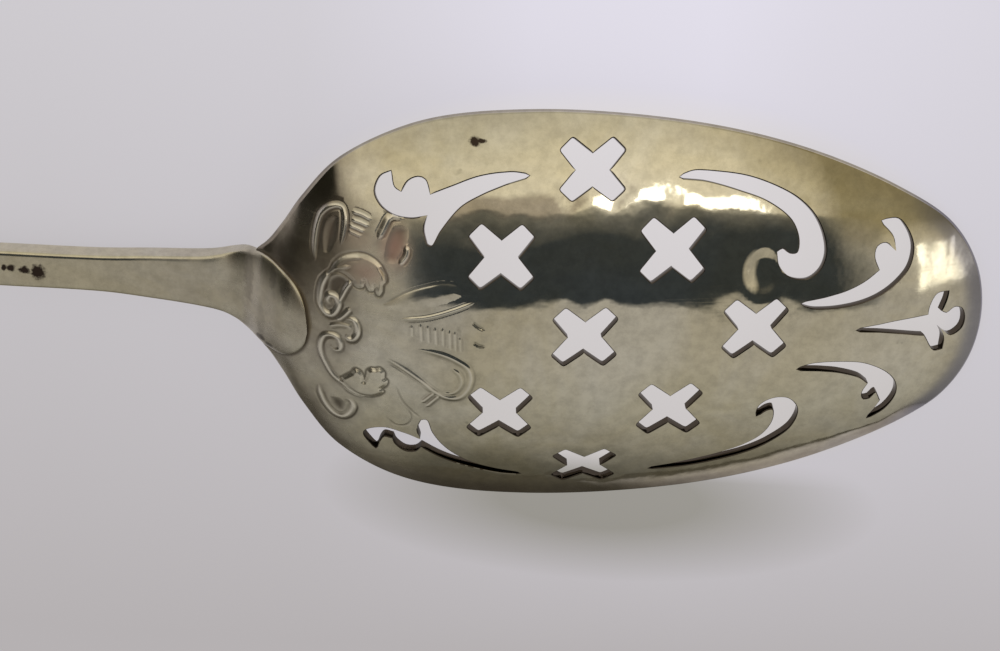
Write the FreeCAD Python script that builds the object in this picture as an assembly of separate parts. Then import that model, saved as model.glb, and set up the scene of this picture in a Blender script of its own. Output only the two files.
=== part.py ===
# A silver mote spoon: a small egg-shaped bowl, pierced with crosses and scrolls
# so that it strains tea, on a slender stem that ends in a lozenge-shaped spear.
# Bowl and stem are forged from one piece, so the part is one solid.
#
# The spoon is built in the bowl's own frame: X runs along the spoon from the
# heel (where the stem meets the bowl) to the tip, Y runs across, Z is the height
# above the flat rim, toward the convex back. At the end it is turned to lie face
# down, on the rim's tip and the end of the stem.
import FreeCAD, Part
import math
import os
from FreeCAD import Vector

# Driving dimensions of the bowl, millimetres
BOWL_LENGTH = 38.0
BOWL_WIDTH = 22.8
BOWL_DEPTH = 3.85          # from the rim to the back's highest line
SHEET = 0.5                # thickness of the metal in the bowl
RIM_EDGE = 0.2             # upright edge of the rim
BACK_ROUNDNESS = 0.84      # 1 is a parabola from side to side, less is squarer
HEEL_SWEEP_LENGTH = 7.0    # the rim's last stretch bends down to the stem
HEEL_SWEEP_DROP = 1.1

# Driving dimensions of the stem
STEM_LENGTH = 102.0        # from the heel to the point of the finial
STEM_THICKNESS = 1.25
STEM_WIDTH_AT_HEEL = 4.3
STEM_WIDTH_NEAR_BOWL = 2.15
STEM_WIDTH_AT_FINIAL = 1.5
STEM_CORNER = 0.25
STEM_FALL = 13.4           # how far the stem's far end lies below the rim plane
NECK_LENGTH = 14.0
NECK_FALL = 3.6            # from the rim plane to the stem's back, behind the neck
DROP_REACH = 2.35          # the stem's tongue on the back of the bowl
DROP_WIDTH = 5.4
DROP_HEIGHT = 0.3
FINIAL_LENGTH = 9.5
FINIAL_WIDTH = 3.4
FINIAL_THICKNESS = 1.9
FINIAL_TIP = 0.5

# Driving dimensions of the piercing
CROSS_REACH = 1.95         # centre of a cross to the end of an arm
CROSS_ARM = 0.8            # width of an arm at its end
CROSS_NOTCH = 0.8          # centre of a cross to the corner between two arms
CROSS_ROWS_IN = 12.4       # first and last row of crosses, from heel and tip
CROSS_RIM_BAND = 2.6       # from the rim to the middle of the outermost crosses
PUNCH_REACH = 1.5          # how far a cutting tool passes the sheet

# Raised scrollwork at the heel
RIB_WIDTH = 0.42
RIB_HEIGHT = 0.16

# Width of the bowl: (share of its length, share of its half width)
RIM_SHAPE = (
    (-0.08, 0.17), (-0.033, 0.189), (0.0, 0.263), (0.026, 0.383), (0.053, 0.534), (0.105, 0.746), (0.21, 0.933),
    (0.368, 1.0), (0.58, 0.952), (0.737, 0.829), (0.868, 0.641), (0.947, 0.463),
)
RIM_TIP = ((0.987, 0.25), (1.0, 0.0))

# Height of the back along the middle: (share of the length, share of the depth)
KEEL_SHAPE = (
    (-0.08, -0.85), (-0.033, -0.49), (0.0, -0.12), (0.026, 0.16), (0.053, 0.345),
    (0.105, 0.62), (0.16, 0.81), (0.21, 0.925), (0.31, 1.0), (0.42, 0.965),
    (0.53, 0.9), (0.63, 0.83), (0.737, 0.745), (0.84, 0.6), (0.895, 0.47),
    (0.947, 0.285), (1.0, 0.09), (1.05, -0.11),
)

# The neck, the stem's bent stretch next to the bowl: (share of its length behind
# the heel, share of its fall) and (share of its length, share of the flare)
NECK_BACK = (
    (-1.0, -1.0), (-0.63, -0.867), (-0.436, -0.772), (-0.243, -0.644), (-0.164, -0.569),
)
NECK_FLARE = (
    (-1.0, 0.0), (-0.63, 0.03), (-0.436, 0.21), (-0.243, 0.42), (-0.164, 0.62), (-0.089, 1.0),
)

HALF_WIDTH = BOWL_WIDTH / 2
ROOT = -0.033 * BOWL_LENGTH    # where the stem's flare and the bowl's rim meet
TIP_START = RIM_SHAPE[-1][0] * BOWL_LENGTH


def value_at(table, x):
    """Smooth value between the points of a short (place, value) table."""
    last = len(table) - 1
    i = 0
    while i < last - 1 and x > table[i + 1][0]:
        i += 1

    def slope(k):
        a = table[max(k - 1, 0)]
        b = table[min(k + 1, last)]
        return (b[1] - a[1]) / (b[0] - a[0])

    x0, v0 = table[i]
    x1, v1 = table[i + 1]
    span = x1 - x0
    t = (x - x0) / span
    if t < 0:
        return v0 + slope(i) * (x - x0)
    if t > 1:
        return v1 + slope(i + 1) * (x - x1)
    return (
        v0 * (1 + 2 * t) * (1 - t) ** 2
        + slope(i) * span * t * (1 - t) ** 2
        + v1 * t * t * (3 - 2 * t)
        - slope(i + 1) * span * t * t * (1 - t)
    )


def half_width(x):
    return HALF_WIDTH * value_at(RIM_SHAPE, x / BOWL_LENGTH)


def keel_height(x):
    return BOWL_DEPTH * value_at(KEEL_SHAPE, x / BOWL_LENGTH)


def rim_height(x):
    """The rim is flat, but its last stretch sweeps down into the stem."""
    if x >= HEEL_SWEEP_LENGTH:
        return 0.0
    return -HEEL_SWEEP_DROP * (1 - x / HEEL_SWEEP_LENGTH) ** 2


def back_height(x, y):
    """Height of the outer skin of the bowl, also a little way past its rim."""
    edge = rim_height(x) + RIM_EDGE
    rise = keel_height(x) - edge
    # past the last station the curvature from side to side stays as it is
    x_curved = min(max(x, 0.0), TIP_START)
    rise_curved = keel_height(x_curved) - rim_height(x_curved) - RIM_EDGE
    w = half_width(x_curved)
    share = (y / w) ** 2
    return edge + rise - rise_curved * (
        BACK_ROUNDNESS * share + (1 - BACK_ROUNDNESS) * share * share)


def back_normal(x, y):
    step = 0.01
    dx = (back_height(x + step, y) - back_height(x - step, y)) / (2 * step)
    dy = (back_height(x, y + step) - back_height(x, y - step)) / (2 * step)
    n = Vector(-dx, -dy, 1)
    n.normalize()
    return n


def front_height(x, y):
    """Height of the hollow, one sheet thickness inside the outer skin."""
    return back_height(x, y) - SHEET / back_normal(x, y).z


def skin_block(height, lift=0.0):
    """Everything below one skin of the bowl, as a solid."""
    # closer rows at the heel, where the form turns quickly
    stations = [-0.07 * BOWL_LENGTH + 0.011 * BOWL_LENGTH * i for i in range(22)]
    rest = 1.05 * BOWL_LENGTH - stations[-1]
    stations += [stations[-1] + rest * (i + 1) / 28 for i in range(28)]
    rows = []
    for x in stations:
        reach = half_width(min(x, TIP_START)) * 1.08
        row = []
        for j in range(21):
            y = reach * (j / 10 - 1)
            row.append(Vector(x, y, height(x, y) + lift))
        rows.append(row)
    skin = Part.BSplineSurface()
    skin.interpolate(rows)
    return skin.toShape().extrude(Vector(0, 0, -20))


def spline(points):
    """One smooth edge through the points; two make a line and three an arc."""
    if len(points) == 2:
        return Part.LineSegment(points[0], points[1]).toShape()
    if len(points) == 3:
        return Part.Arc(points[0], points[1], points[2]).toShape()
    curve = Part.BSplineCurve()
    curve.interpolate(points)
    return curve.toShape()


def plan_prism(edges, bottom=-20, top=20):
    wire = Part.Wire(Part.__sortEdges__(edges))
    wire.translate(Vector(0, 0, bottom))
    return Part.Face(wire).extrude(Vector(0, 0, top - bottom))


def bowl_outline():
    stations = RIM_SHAPE[1:] + RIM_TIP[:1]
    side = [Vector(BOWL_LENGTH * x, HALF_WIDTH * w, 0) for x, w in stations]
    tip = Vector(BOWL_LENGTH, 0, 0)
    other = [Vector(p.x, -p.y, 0) for p in reversed(side)]
    return [spline(side + [tip] + other), spline([other[-1], side[0]])]


def under_rim():
    """The space below the rim: flat, with a swept end at the heel."""
    far = BOWL_LENGTH * 1.2
    near = -0.06 * BOWL_LENGTH
    sweep = []
    for i in range(7):
        x = near + (HEEL_SWEEP_LENGTH - near) * i / 6
        sweep.append(Vector(x, 0, rim_height(x)))
    corners = [Vector(far, 0, 0), Vector(far, 0, -30), Vector(near, 0, -30)]
    edges = [spline(sweep), spline([sweep[-1], corners[0]])]
    edges.append(spline(corners[:2]))
    edges.append(spline(corners[1:]))
    edges.append(spline([corners[2], sweep[0]]))
    face = Part.Face(Part.Wire(edges))
    face.translate(Vector(0, -BOWL_WIDTH, 0))
    return face.extrude(Vector(0, 2 * BOWL_WIDTH, 0))


def raised(outline, height):
    """A patch of the bowl's back that stands proud of it, with upright sides."""
    top = skin_block(back_height, height)
    below = skin_block(back_height, -SHEET / 2)
    return plan_prism(outline).common(top).cut(below)


def drop():
    """Tongue of the stem that ends in a rounded step on the back of the bowl."""
    half = DROP_WIDTH / 2
    shoulder = [
        Vector(ROOT, STEM_WIDTH_AT_HEEL / 2, 0),
        Vector(0, half, 0),
        Vector(DROP_REACH * 0.62, half * 0.74, 0),
        Vector(DROP_REACH, 0, 0),
    ]
    other = [Vector(p.x, -p.y, 0) for p in reversed(shoulder[:-1])]
    outline = [spline(shoulder + other), spline([other[-1], shoulder[0]])]
    return raised(outline, DROP_HEIGHT)


def stem_section(x, top, width, thickness, corner):
    """Rounded rectangle across the stem."""
    w = width / 2
    r = min(corner, 0.92 * w, 0.46 * thickness)
    k = r * (1 - math.sqrt(0.5))
    low = top - thickness
    edges = []
    for sy, sz, zc in ((1, 1, top), (1, -1, low), (-1, -1, low), (-1, 1, top)):
        a = Vector(x, sy * (w - r), zc)
        b = Vector(x, sy * w, zc - sz * r)
        m = Vector(x, sy * (w - k), zc - sz * k)
        edges.append((a, m, b) if sy * sz > 0 else (b, m, a))
    wire = []
    for i, (a, m, b) in enumerate(edges):
        wire.append(spline([a, m, b]))
        wire.append(spline([b, edges[(i + 1) % 4][0]]))
    return Part.Wire(wire)


def stem_back(x, half):
    """Height of the stem's flat back: its own line, then just inside the drop."""
    if x > ROOT:
        return back_height(x, half) + DROP_HEIGHT - 0.03
    end = (ROOT / NECK_LENGTH, (back_height(ROOT, half) + DROP_HEIGHT - 0.03) / NECK_FALL)
    return NECK_FALL * value_at(NECK_BACK + (end,), x / NECK_LENGTH)


def stem():
    """Flared and rectangular near the bowl, then slimmer and rounder to the end."""
    flare = STEM_WIDTH_AT_HEEL - STEM_WIDTH_NEAR_BOWL
    inside = DROP_REACH * 0.3
    near = []
    for i in range(13):
        x = inside - (NECK_LENGTH + inside) * i / 12
        share = min(value_at(NECK_FLARE, x / NECK_LENGTH), 1.0)
        width = STEM_WIDTH_NEAR_BOWL + flare * share
        top = stem_back(x, width / 2)
        # the front of the stem runs into the hollow without a step
        merged = stem_back(inside, width / 2) - front_height(inside, 0) - 0.02
        blend = max(0.0, 1 - i / 3) ** 2
        thickness = STEM_THICKNESS + (merged - STEM_THICKNESS) * blend
        near.append(stem_section(x, top, width, thickness, STEM_CORNER))
    end = -(STEM_LENGTH - FINIAL_LENGTH * 0.75)
    end_top = -STEM_FALL + FINIAL_THICKNESS / 2 + STEM_WIDTH_AT_FINIAL / 2
    corner = STEM_WIDTH_AT_FINIAL * 0.42
    last = stem_section(end, end_top, STEM_WIDTH_AT_FINIAL, STEM_WIDTH_AT_FINIAL, corner)
    flared = Part.makeLoft(near, True, False)
    shaft = Part.makeLoft([near[-1], last], True, True)
    return flared.fuse(shaft)


def lozenge(x, z, width, thickness):
    points = [
        Vector(x, width / 2, z), Vector(x, 0, z + thickness / 2),
        Vector(x, -width / 2, z), Vector(x, 0, z - thickness / 2),
    ]
    return Part.makePolygon(points + points[:1])


def finial_stations():
    """Lozenges of the spear: (x, width, thickness) from its root to its point."""
    root = FINIAL_LENGTH - STEM_LENGTH
    neck = STEM_WIDTH_AT_FINIAL * 1.25
    return (
        (root, neck, neck),
        (root - FINIAL_LENGTH * 0.22, FINIAL_WIDTH, FINIAL_THICKNESS),
        (-STEM_LENGTH, FINIAL_TIP, FINIAL_TIP),
    )


def finial():
    """Four-sided spear: a short back slope and a long point."""
    z = -STEM_FALL + FINIAL_THICKNESS / 2
    root, shoulder, point = [lozenge(x, z, w, t) for x, w, t in finial_stations()]
    back = Part.makeLoft([root, shoulder], True, True)
    return back.fuse(Part.makeLoft([shoulder, point], True, True))


def on_back(share):
    """Point of the bowl's back above a share of its length and half width."""
    x = share[0] * BOWL_LENGTH
    y = share[1] * HALF_WIDTH
    return Vector(x, y, back_height(x, y))


def punch(stretches, middle):
    """Cutting tool for one opening, square to the sheet at its middle.

    The stretches are given as seen from above; each is laid on the back of the
    bowl and then flattened onto the plane that touches it at the middle."""
    centre = on_back(middle)
    n = back_normal(centre.x, centre.y)
    edges = []
    for stretch in stretches:
        flat = []
        for share in stretch:
            p = on_back(share)
            p = p - n * (p - centre).dot(n)
            flat.append(p - n * PUNCH_REACH)
        edges.append(spline(flat))
    return Part.Face(Part.Wire(edges)).extrude(n * (2 * PUNCH_REACH))


def cross(x, y):
    """Saltire whose arms lie on the diagonals of the sheet."""
    centre = Vector(x, y, back_height(x, y))
    n = back_normal(x, y)
    along = Vector(1, 0, 0) - n * n.x
    along.normalize()
    across = n.cross(along)
    corners = []
    for k in range(4):
        a = math.radians(45 + 90 * k)
        end = (CROSS_REACH * math.cos(a), CROSS_REACH * math.sin(a))
        side = (math.sin(a) * CROSS_ARM / 2, -math.cos(a) * CROSS_ARM / 2)
        b = a + math.radians(45)
        corners.append((end[0] + side[0], end[1] + side[1]))
        corners.append((end[0] - side[0], end[1] - side[1]))
        corners.append((CROSS_NOTCH * math.cos(b), CROSS_NOTCH * math.sin(b)))
    points = []
    for u, v in corners:
        points.append(centre + along * u + across * v - n * PUNCH_REACH)
    outline = Part.makePolygon(points + points[:1])
    return Part.Face(outline).extrude(n * (2 * PUNCH_REACH))


def cross_places():
    """Four rows of one, two or three crosses, spread evenly between the ends."""
    pitch = (BOWL_LENGTH - 2 * CROSS_ROWS_IN) / 3
    outer = HALF_WIDTH - CROSS_RIM_BAND
    # a little more than half way out, because the outer ones stand on the flank
    inner = outer * 0.525
    rows = ((-inner, inner), (-outer, 0.0, outer), (-inner, inner), (0.0,))
    places = []
    for row, ys in enumerate(rows):
        for y in ys:
            places.append((CROSS_ROWS_IN + pitch * row, y))
    return places


# Scrolls on one side of the bowl, each as stretches between its cusps and tips.
# Their points are shares of the bowl: (share of its length, share of its half width)
LEAF_SCROLL = (
    ((0.167, 0.719), (0.148, 0.645), (0.157, 0.572), (0.187, 0.551), (0.219, 0.582)),
    ((0.219, 0.582), (0.217, 0.522), (0.225, 0.454)),
    ((0.225, 0.454), (0.239, 0.535), (0.268, 0.640), (0.308, 0.719), (0.359, 0.781)),
    ((0.359, 0.781), (0.321, 0.777), (0.279, 0.744), (0.224, 0.654)),
    ((0.224, 0.654), (0.213, 0.709), (0.195, 0.689), (0.185, 0.639)),
    ((0.185, 0.639), (0.172, 0.647), (0.167, 0.719)),
)
LONG_SCROLL = (
    ((0.558, 0.765), (0.613, 0.758), (0.674, 0.707), (0.721, 0.618), (0.750, 0.500),
     (0.756, 0.404), (0.742, 0.326), (0.718, 0.314), (0.699, 0.360), (0.694, 0.432)),
    ((0.694, 0.432), (0.708, 0.409), (0.722, 0.414), (0.721, 0.482), (0.705, 0.561),
     (0.671, 0.640), (0.616, 0.711), (0.558, 0.765)),
)
CURL_SCROLL = (
    ((0.739, 0.167), (0.779, 0.139), (0.824, 0.156), (0.858, 0.215), (0.883, 0.307),
     (0.885, 0.412), (0.871, 0.487), (0.849, 0.516)),
    ((0.849, 0.516), (0.861, 0.456), (0.865, 0.390)),
    ((0.865, 0.390), (0.847, 0.404), (0.837, 0.360), (0.843, 0.285)),
    ((0.843, 0.285), (0.821, 0.240), (0.787, 0.202), (0.739, 0.167)),
)
# Trefoil with a dagger-like root, on the middle line near the tip; one half
TREFOIL_HALF = (
    ((0.820, 0.0), (0.874, 0.030), (0.920, 0.049)),
    ((0.920, 0.049), (0.925, 0.116), (0.945, 0.151)),
    ((0.945, 0.151), (0.944, 0.096), (0.939, 0.054)),
    ((0.939, 0.054), (0.961, 0.065), (0.973, 0.0)),
)


# Raised scrollwork at the heel, one line for each rib, in the same shares
PAIRED_RIBS = (
    ((0.095, 0.112), (0.105, 0.095), (0.101, 0.056), (0.088, 0.048), (0.080, 0.086), (0.079, 0.171),
     (0.086, 0.237), (0.100, 0.296), (0.121, 0.340), (0.146, 0.360)),
    ((0.074, 0.307), (0.073, 0.395), (0.079, 0.487), (0.094, 0.544), (0.107, 0.551), (0.113, 0.491),
     (0.108, 0.404)),
)
MIDDLE_RIBS = (
    ((0.107, 0.040), (0.117, 0.075), (0.126, 0.039), (0.129, -0.004), (0.124, -0.044), (0.115, -0.044)),
    ((0.197, 0.083), (0.229, 0.105), (0.255, 0.136), (0.287, 0.197)),
    ((0.170, -0.132), (0.216, -0.228), (0.250, -0.300), (0.272, -0.303), (0.286, -0.228), (0.271, -0.132),
     (0.237, -0.081)),
)


def mirrored(stretches):
    return tuple(tuple((x, -y) for x, y in stretch) for stretch in stretches)


def openings():
    tools = [cross(x, y) for x, y in cross_places()]
    for stretches, x, y in (
        (LEAF_SCROLL, 0.242, 0.64), (LONG_SCROLL, 0.684, 0.579), (CURL_SCROLL, 0.826, 0.281),
    ):
        tools.append(punch(stretches, (x, y)))
        tools.append(punch(mirrored(stretches), (x, -y)))
    other_half = [tuple(reversed(s)) for s in reversed(mirrored(TREFOIL_HALF))]
    tools.append(punch(TREFOIL_HALF + tuple(other_half), (0.916, 0.0)))
    return tools


def scrollwork():
    """Raised bands along the ribs' lines, full at the start and fine at the end."""
    made = []
    for line in PAIRED_RIBS + mirrored(PAIRED_RIBS) + MIDDLE_RIBS:
        points = [Vector(x * BOWL_LENGTH, y * HALF_WIDTH, 0) for x, y in line]
        last = len(points) - 1
        left = []
        right = []
        for i, p in enumerate(points):
            along = points[min(i + 1, last)] - points[max(i - 1, 0)]
            across = Vector(-along.y, along.x, 0)
            across.normalize()
            width = RIB_WIDTH * (1 - 0.6 * i / last)
            left.append(p + across * (width / 2))
            right.append(p - across * (width / 2))
        right.reverse()
        outline = [
            spline(left), spline([left[-1], right[0]]),
            spline(right), spline([right[-1], left[0]]),
        ]
        made.append(raised(outline, RIB_HEIGHT))
    return made


def spoon():
    shell = plan_prism(bowl_outline()).common(skin_block(back_height))
    shell = shell.cut(skin_block(front_height))
    shell = shell.cut(under_rim())
    body = shell.fuse([stem(), finial(), drop()] + scrollwork())
    for tool in openings():
        body = body.cut(tool)
    return body.removeSplitter()


def laid_down(body):
    """Turned about Y to rest on the tip of the rim and the stem's far end, with the
    floor at Z = 0 and the middle of the length at the origin."""
    tilt = 0.0
    for x, _, thickness in finial_stations():
        low = STEM_FALL - FINIAL_THICKNESS / 2 + thickness / 2
        tilt = max(tilt, math.degrees(math.atan2(low, BOWL_LENGTH - x)))
    body.rotate(Vector(0, 0, 0), Vector(0, 1, 0), tilt)
    box = body.optimalBoundingBox()
    body.translate(Vector(-(box.XMin + box.XMax) / 2, -(box.YMin + box.YMax) / 2, -box.ZMin))
    return body


part = laid_down(spoon())
if part.ShapeType != "Solid":
    solids = part.Solids
    part = max(solids, key=lambda s: s.Volume)
    print("solids", len(solids))
print("valid", part.isValid(), "volume", round(part.Volume, 1), "centre", part.CenterOfMass)
print("box", part.optimalBoundingBox())
os.makedirs("parts", exist_ok=True)
part.exportStep("parts/mote_spoon.step")
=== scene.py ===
"""Mote spoon: a pierced silver bowl on a long slender stem, seen from its back.

The spoon lies as it comes to rest, hollow down, on the tip of its rim and the far
end of its stem. Shapes are worked out in millimetres in the frame of the bowl: X from
the heel to the tip, Y across, Z above the flat rim towards the back. The near side is
+Y, where the camera leans over, and the front of the table is towards -Y. At the end
each piece is laid down into the shared frame, in metres.
"""
import math

import bmesh
import bpy
import numpy as np
from bpy.props import FloatProperty, FloatVectorProperty, IntProperty, PointerProperty
from mathutils import Euler, Matrix, Vector


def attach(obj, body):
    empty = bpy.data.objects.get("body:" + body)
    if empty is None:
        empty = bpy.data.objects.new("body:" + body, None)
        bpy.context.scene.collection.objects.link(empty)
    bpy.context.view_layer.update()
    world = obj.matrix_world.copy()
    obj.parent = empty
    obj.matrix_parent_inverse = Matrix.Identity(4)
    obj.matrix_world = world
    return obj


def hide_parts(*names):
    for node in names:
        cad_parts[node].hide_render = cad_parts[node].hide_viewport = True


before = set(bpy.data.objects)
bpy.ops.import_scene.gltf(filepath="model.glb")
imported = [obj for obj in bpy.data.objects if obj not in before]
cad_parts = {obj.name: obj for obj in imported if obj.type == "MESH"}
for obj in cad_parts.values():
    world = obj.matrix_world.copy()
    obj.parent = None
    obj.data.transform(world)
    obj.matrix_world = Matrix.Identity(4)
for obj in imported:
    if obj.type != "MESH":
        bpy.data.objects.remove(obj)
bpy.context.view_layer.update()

bl_info = {
    "name": "Mote spoon",
    "version": (1, 0, 0),
    "blender": (4, 5, 0),
    "location": "View3D > Sidebar > Mote spoon",
    "description": "Builds a pierced mote spoon, its silver and its small stage",
    "category": "Add Mesh",
}

NODE = "mote_spoon"
MM = 0.001

# Shape of the bowl, in the same shares as the solid

RIM_SHAPE = (
    (-0.08, 0.17), (-0.033, 0.189), (0.0, 0.263), (0.026, 0.383), (0.053, 0.534),
    (0.105, 0.746), (0.21, 0.933), (0.368, 1.0), (0.58, 0.952), (0.737, 0.829),
    (0.868, 0.641), (0.947, 0.463),
)
RIM_TIP = ((0.987, 0.25), (1.0, 0.0))
KEEL_SHAPE = (
    (-0.08, -0.85), (-0.033, -0.49), (0.0, -0.12), (0.026, 0.16), (0.053, 0.345),
    (0.105, 0.62), (0.16, 0.81), (0.21, 0.925), (0.31, 1.0), (0.42, 0.965),
    (0.53, 0.9), (0.63, 0.83), (0.737, 0.745), (0.84, 0.6), (0.895, 0.47),
    (0.947, 0.285), (1.0, 0.09), (1.05, -0.11),
)
NECK_BACK = (
    (-1.0, -1.0), (-0.63, -0.867), (-0.436, -0.772), (-0.243, -0.644), (-0.164, -0.569),
)
NECK_FLARE = (
    (-1.0, 0.0), (-0.63, 0.03), (-0.436, 0.21), (-0.243, 0.42), (-0.164, 0.62), (-0.089, 1.0),
)

BACK_ROUNDNESS = 0.84
HEEL_SWEEP_LENGTH = 7.0
HEEL_SWEEP_DROP = 1.1
RIM_EDGE = 0.2
# rounding of the rim's back: depth under the skin, and how far inside the outline
RIM_ROUNDING = ((0.13, 0.0), (0.035, 0.04), (-0.004, 0.13), (-0.1, 0.2))
STEM_WIDTH_NEAR_BOWL = 2.15
STEM_WIDTH_AT_HEEL = 4.3
STEM_WIDTH_AT_FINIAL = 1.5
STEM_FALL = 13.4
NECK_LENGTH = 14.0
NECK_FALL = 3.6
FINIAL_TIP = 0.5
FINIAL_BEVEL = 0.12
# squareness of the stem's section, what it loses along the stem and on the tongue
STEM_SQUARENESS = 7.0
STEM_ROUNDING = 4.6
TONGUE_ROUNDING = 3.2

# The sheet starts as a grid that reaches past the rim, and tools cut it to shape
GRID_START = -1.6
GRID_PAST_TIP = 0.6
GRID_PAST_SIDES = 1.2
TOOL_BOTTOM = -12.0
TOOL_TOP = 9.0
UNDER_MARGIN = 3.0
UNDER_DEPTH = 20.0
# how close to its height a point counts as on a skin, bare or with all that was raised
SKIN_GAP = 0.012
RAISED_GAP = 0.09
SHADING_STEP = 0.15

# Piercings: outlines as smooth stretches between corners, X and Y in mm

# crosses: X, Y and how much the steep side shortens the cross in plan
CROSSES = (
    (16.93, 8.80, 0.87), (12.32, 4.52, 1.0), (21.16, 4.80, 1.0), (16.75, 0.12, 1.0),
    (25.65, 0.39, 1.0), (12.47, -4.63, 1.0), (21.44, -4.54, 1.0), (17.13, -8.68, 0.77),
)
# length and width of an arm, how far in the notches lie, and the wear of its corners
CROSS_REACH = 1.93
CROSS_ARM = 0.92
CROSS_NOTCH = 0.87
CORNER_WEAR = 0.15
# the saw has pressed the metal down round each cross, and blunted the sharp tips
DISH_DEPTH = 0.015
DISH_REACH = 0.45
TIP_TURN = 2.2
TIP_GROWTH = 0.07
TIP_REACH = 1.2
# how far each opening's tool reaches under and over the sheet
PUNCH_BELOW = 1.7
PUNCH_ABOVE = 1.6
LEAF_SCROLL_NEAR = (
    ((6.62, 8.40), (6.07, 8.08), (5.80, 7.36), (6.08, 6.80), (6.70, 6.42), (7.62, 6.33),
     (8.49, 6.51)),
    ((8.49, 6.51), (8.34, 5.82), (8.51, 5.10)),
    ((8.51, 5.10), (8.71, 5.02), (9.16, 5.79), (10.16, 7.00), (11.17, 7.60), (12.19, 8.03),
     (13.61, 8.54)),
    ((13.61, 8.54), (12.69, 8.67), (11.16, 8.46), (9.64, 7.90), (8.63, 7.49)),
    ((8.63, 7.49), (8.37, 8.17), (8.01, 8.27), (7.50, 8.04), (7.15, 7.50)),
    ((7.15, 7.50), (6.79, 7.69), (6.62, 8.40)),
)
LEAF_SCROLL_FAR = (
    ((5.99, -7.93), (5.36, -6.95), (5.55, -6.58), (6.48, -6.22), (7.38, -6.41), (8.34, -6.78)),
    ((8.34, -6.78), (8.19, -6.00), (8.37, -5.37)),
    ((8.37, -5.37), (8.63, -5.33), (8.96, -6.24), (9.57, -7.21), (10.39, -7.99),
     (11.31, -8.55), (13.71, -9.35)),
    ((13.71, -9.35), (12.68, -9.30), (10.51, -8.61), (9.43, -8.09), (8.40, -7.37)),
    ((8.40, -7.37), (8.09, -7.77), (7.60, -7.84), (7.07, -7.38), (6.90, -6.93)),
    ((6.90, -6.93), (6.43, -6.87), (6.22, -7.18), (5.99, -7.93)),
)
LONG_SCROLL_NEAR = (
    ((21.48, 8.43), (22.20, 8.68), (23.50, 8.61), (25.06, 8.34), (26.63, 7.76), (27.69, 7.16),
     (28.50, 6.37), (29.00, 5.38), (29.15, 4.37), (28.87, 3.61), (28.26, 3.17), (27.31, 3.30),
     (26.76, 3.84), (26.60, 4.60)),
    ((26.60, 4.60), (26.87, 4.76), (27.25, 4.50), (27.65, 4.52), (27.75, 5.19), (27.35, 6.18),
     (26.12, 7.13), (24.55, 7.73), (22.98, 8.18), (21.48, 8.43)),
)
LONG_SCROLL_FAR = (
    ((20.71, -9.04), (22.39, -8.93), (24.51, -8.43), (26.08, -7.83), (27.09, -7.15),
     (28.06, -6.08), (28.30, -4.80), (27.74, -4.05), (26.88, -4.02), (26.28, -4.49),
     (26.18, -5.13)),
    ((26.18, -5.13), (26.60, -4.78), (27.00, -4.73), (27.10, -5.45), (26.64, -6.53),
     (25.75, -7.30), (24.46, -7.90), (22.35, -8.58), (20.71, -9.04)),
)
CURL_SCROLL_NEAR = (
    ((28.07, 1.76), (28.72, 1.51), (29.79, 1.45), (31.38, 1.70), (32.38, 2.13), (33.16, 2.73),
     (33.67, 3.39), (33.84, 4.35), (33.53, 5.23), (32.97, 5.83), (32.15, 5.82)),
    ((32.15, 5.82), (32.77, 5.04), (32.91, 4.27)),
    ((32.91, 4.27), (32.35, 4.72), (31.92, 4.59), (31.81, 4.10), (32.09, 3.35)),
    ((32.09, 3.35), (31.36, 2.79), (30.42, 2.34), (29.48, 2.08), (28.07, 1.76)),
)
CURL_SCROLL_FAR = (
    ((28.12, -2.12), (28.98, -1.84), (30.59, -1.85), (31.70, -2.05), (32.87, -2.71),
     (33.46, -3.44), (33.60, -4.30), (33.15, -5.30), (32.29, -5.92)),
    ((32.29, -5.92), (32.60, -5.30), (32.84, -4.69)),
    ((32.84, -4.69), (32.50, -4.05), (32.18, -4.42)),
    ((32.18, -4.42), (31.90, -4.45), (31.75, -4.05), (32.01, -3.37)),
    ((32.01, -3.37), (31.52, -2.92), (30.38, -2.48), (29.40, -2.30), (28.12, -2.12)),
)
TREFOIL = (
    ((31.12, 0.07), (32.85, 0.36), (34.95, 0.51)),
    ((34.95, 0.51), (35.02, 1.02), (35.36, 1.64), (35.97, 1.69)),
    ((35.97, 1.69), (35.90, 1.25), (35.67, 0.60)),
    ((35.67, 0.60), (35.97, 0.42), (36.40, 0.69), (36.81, 0.54), (37.00, -0.10), (36.87, -0.61),
     (36.34, -0.92), (35.71, -0.44)),
    ((35.71, -0.44), (35.92, -0.90), (35.91, -1.71)),
    ((35.91, -1.71), (35.50, -1.72), (35.27, -1.45), (34.97, -0.88), (34.84, -0.66)),
    ((34.84, -0.66), (33.00, -0.24), (31.12, 0.07)),
)
SCROLLS = (
    LEAF_SCROLL_NEAR, LEAF_SCROLL_FAR, LONG_SCROLL_NEAR, LONG_SCROLL_FAR,
    CURL_SCROLL_NEAR, CURL_SCROLL_FAR, TREFOIL,
)

# Chased work at the heel, X and Y in mm. A ridge or groove is (line, width, height),
# full in the middle; a swell or a hollow is (stretches, height, softness of its border)

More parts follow.
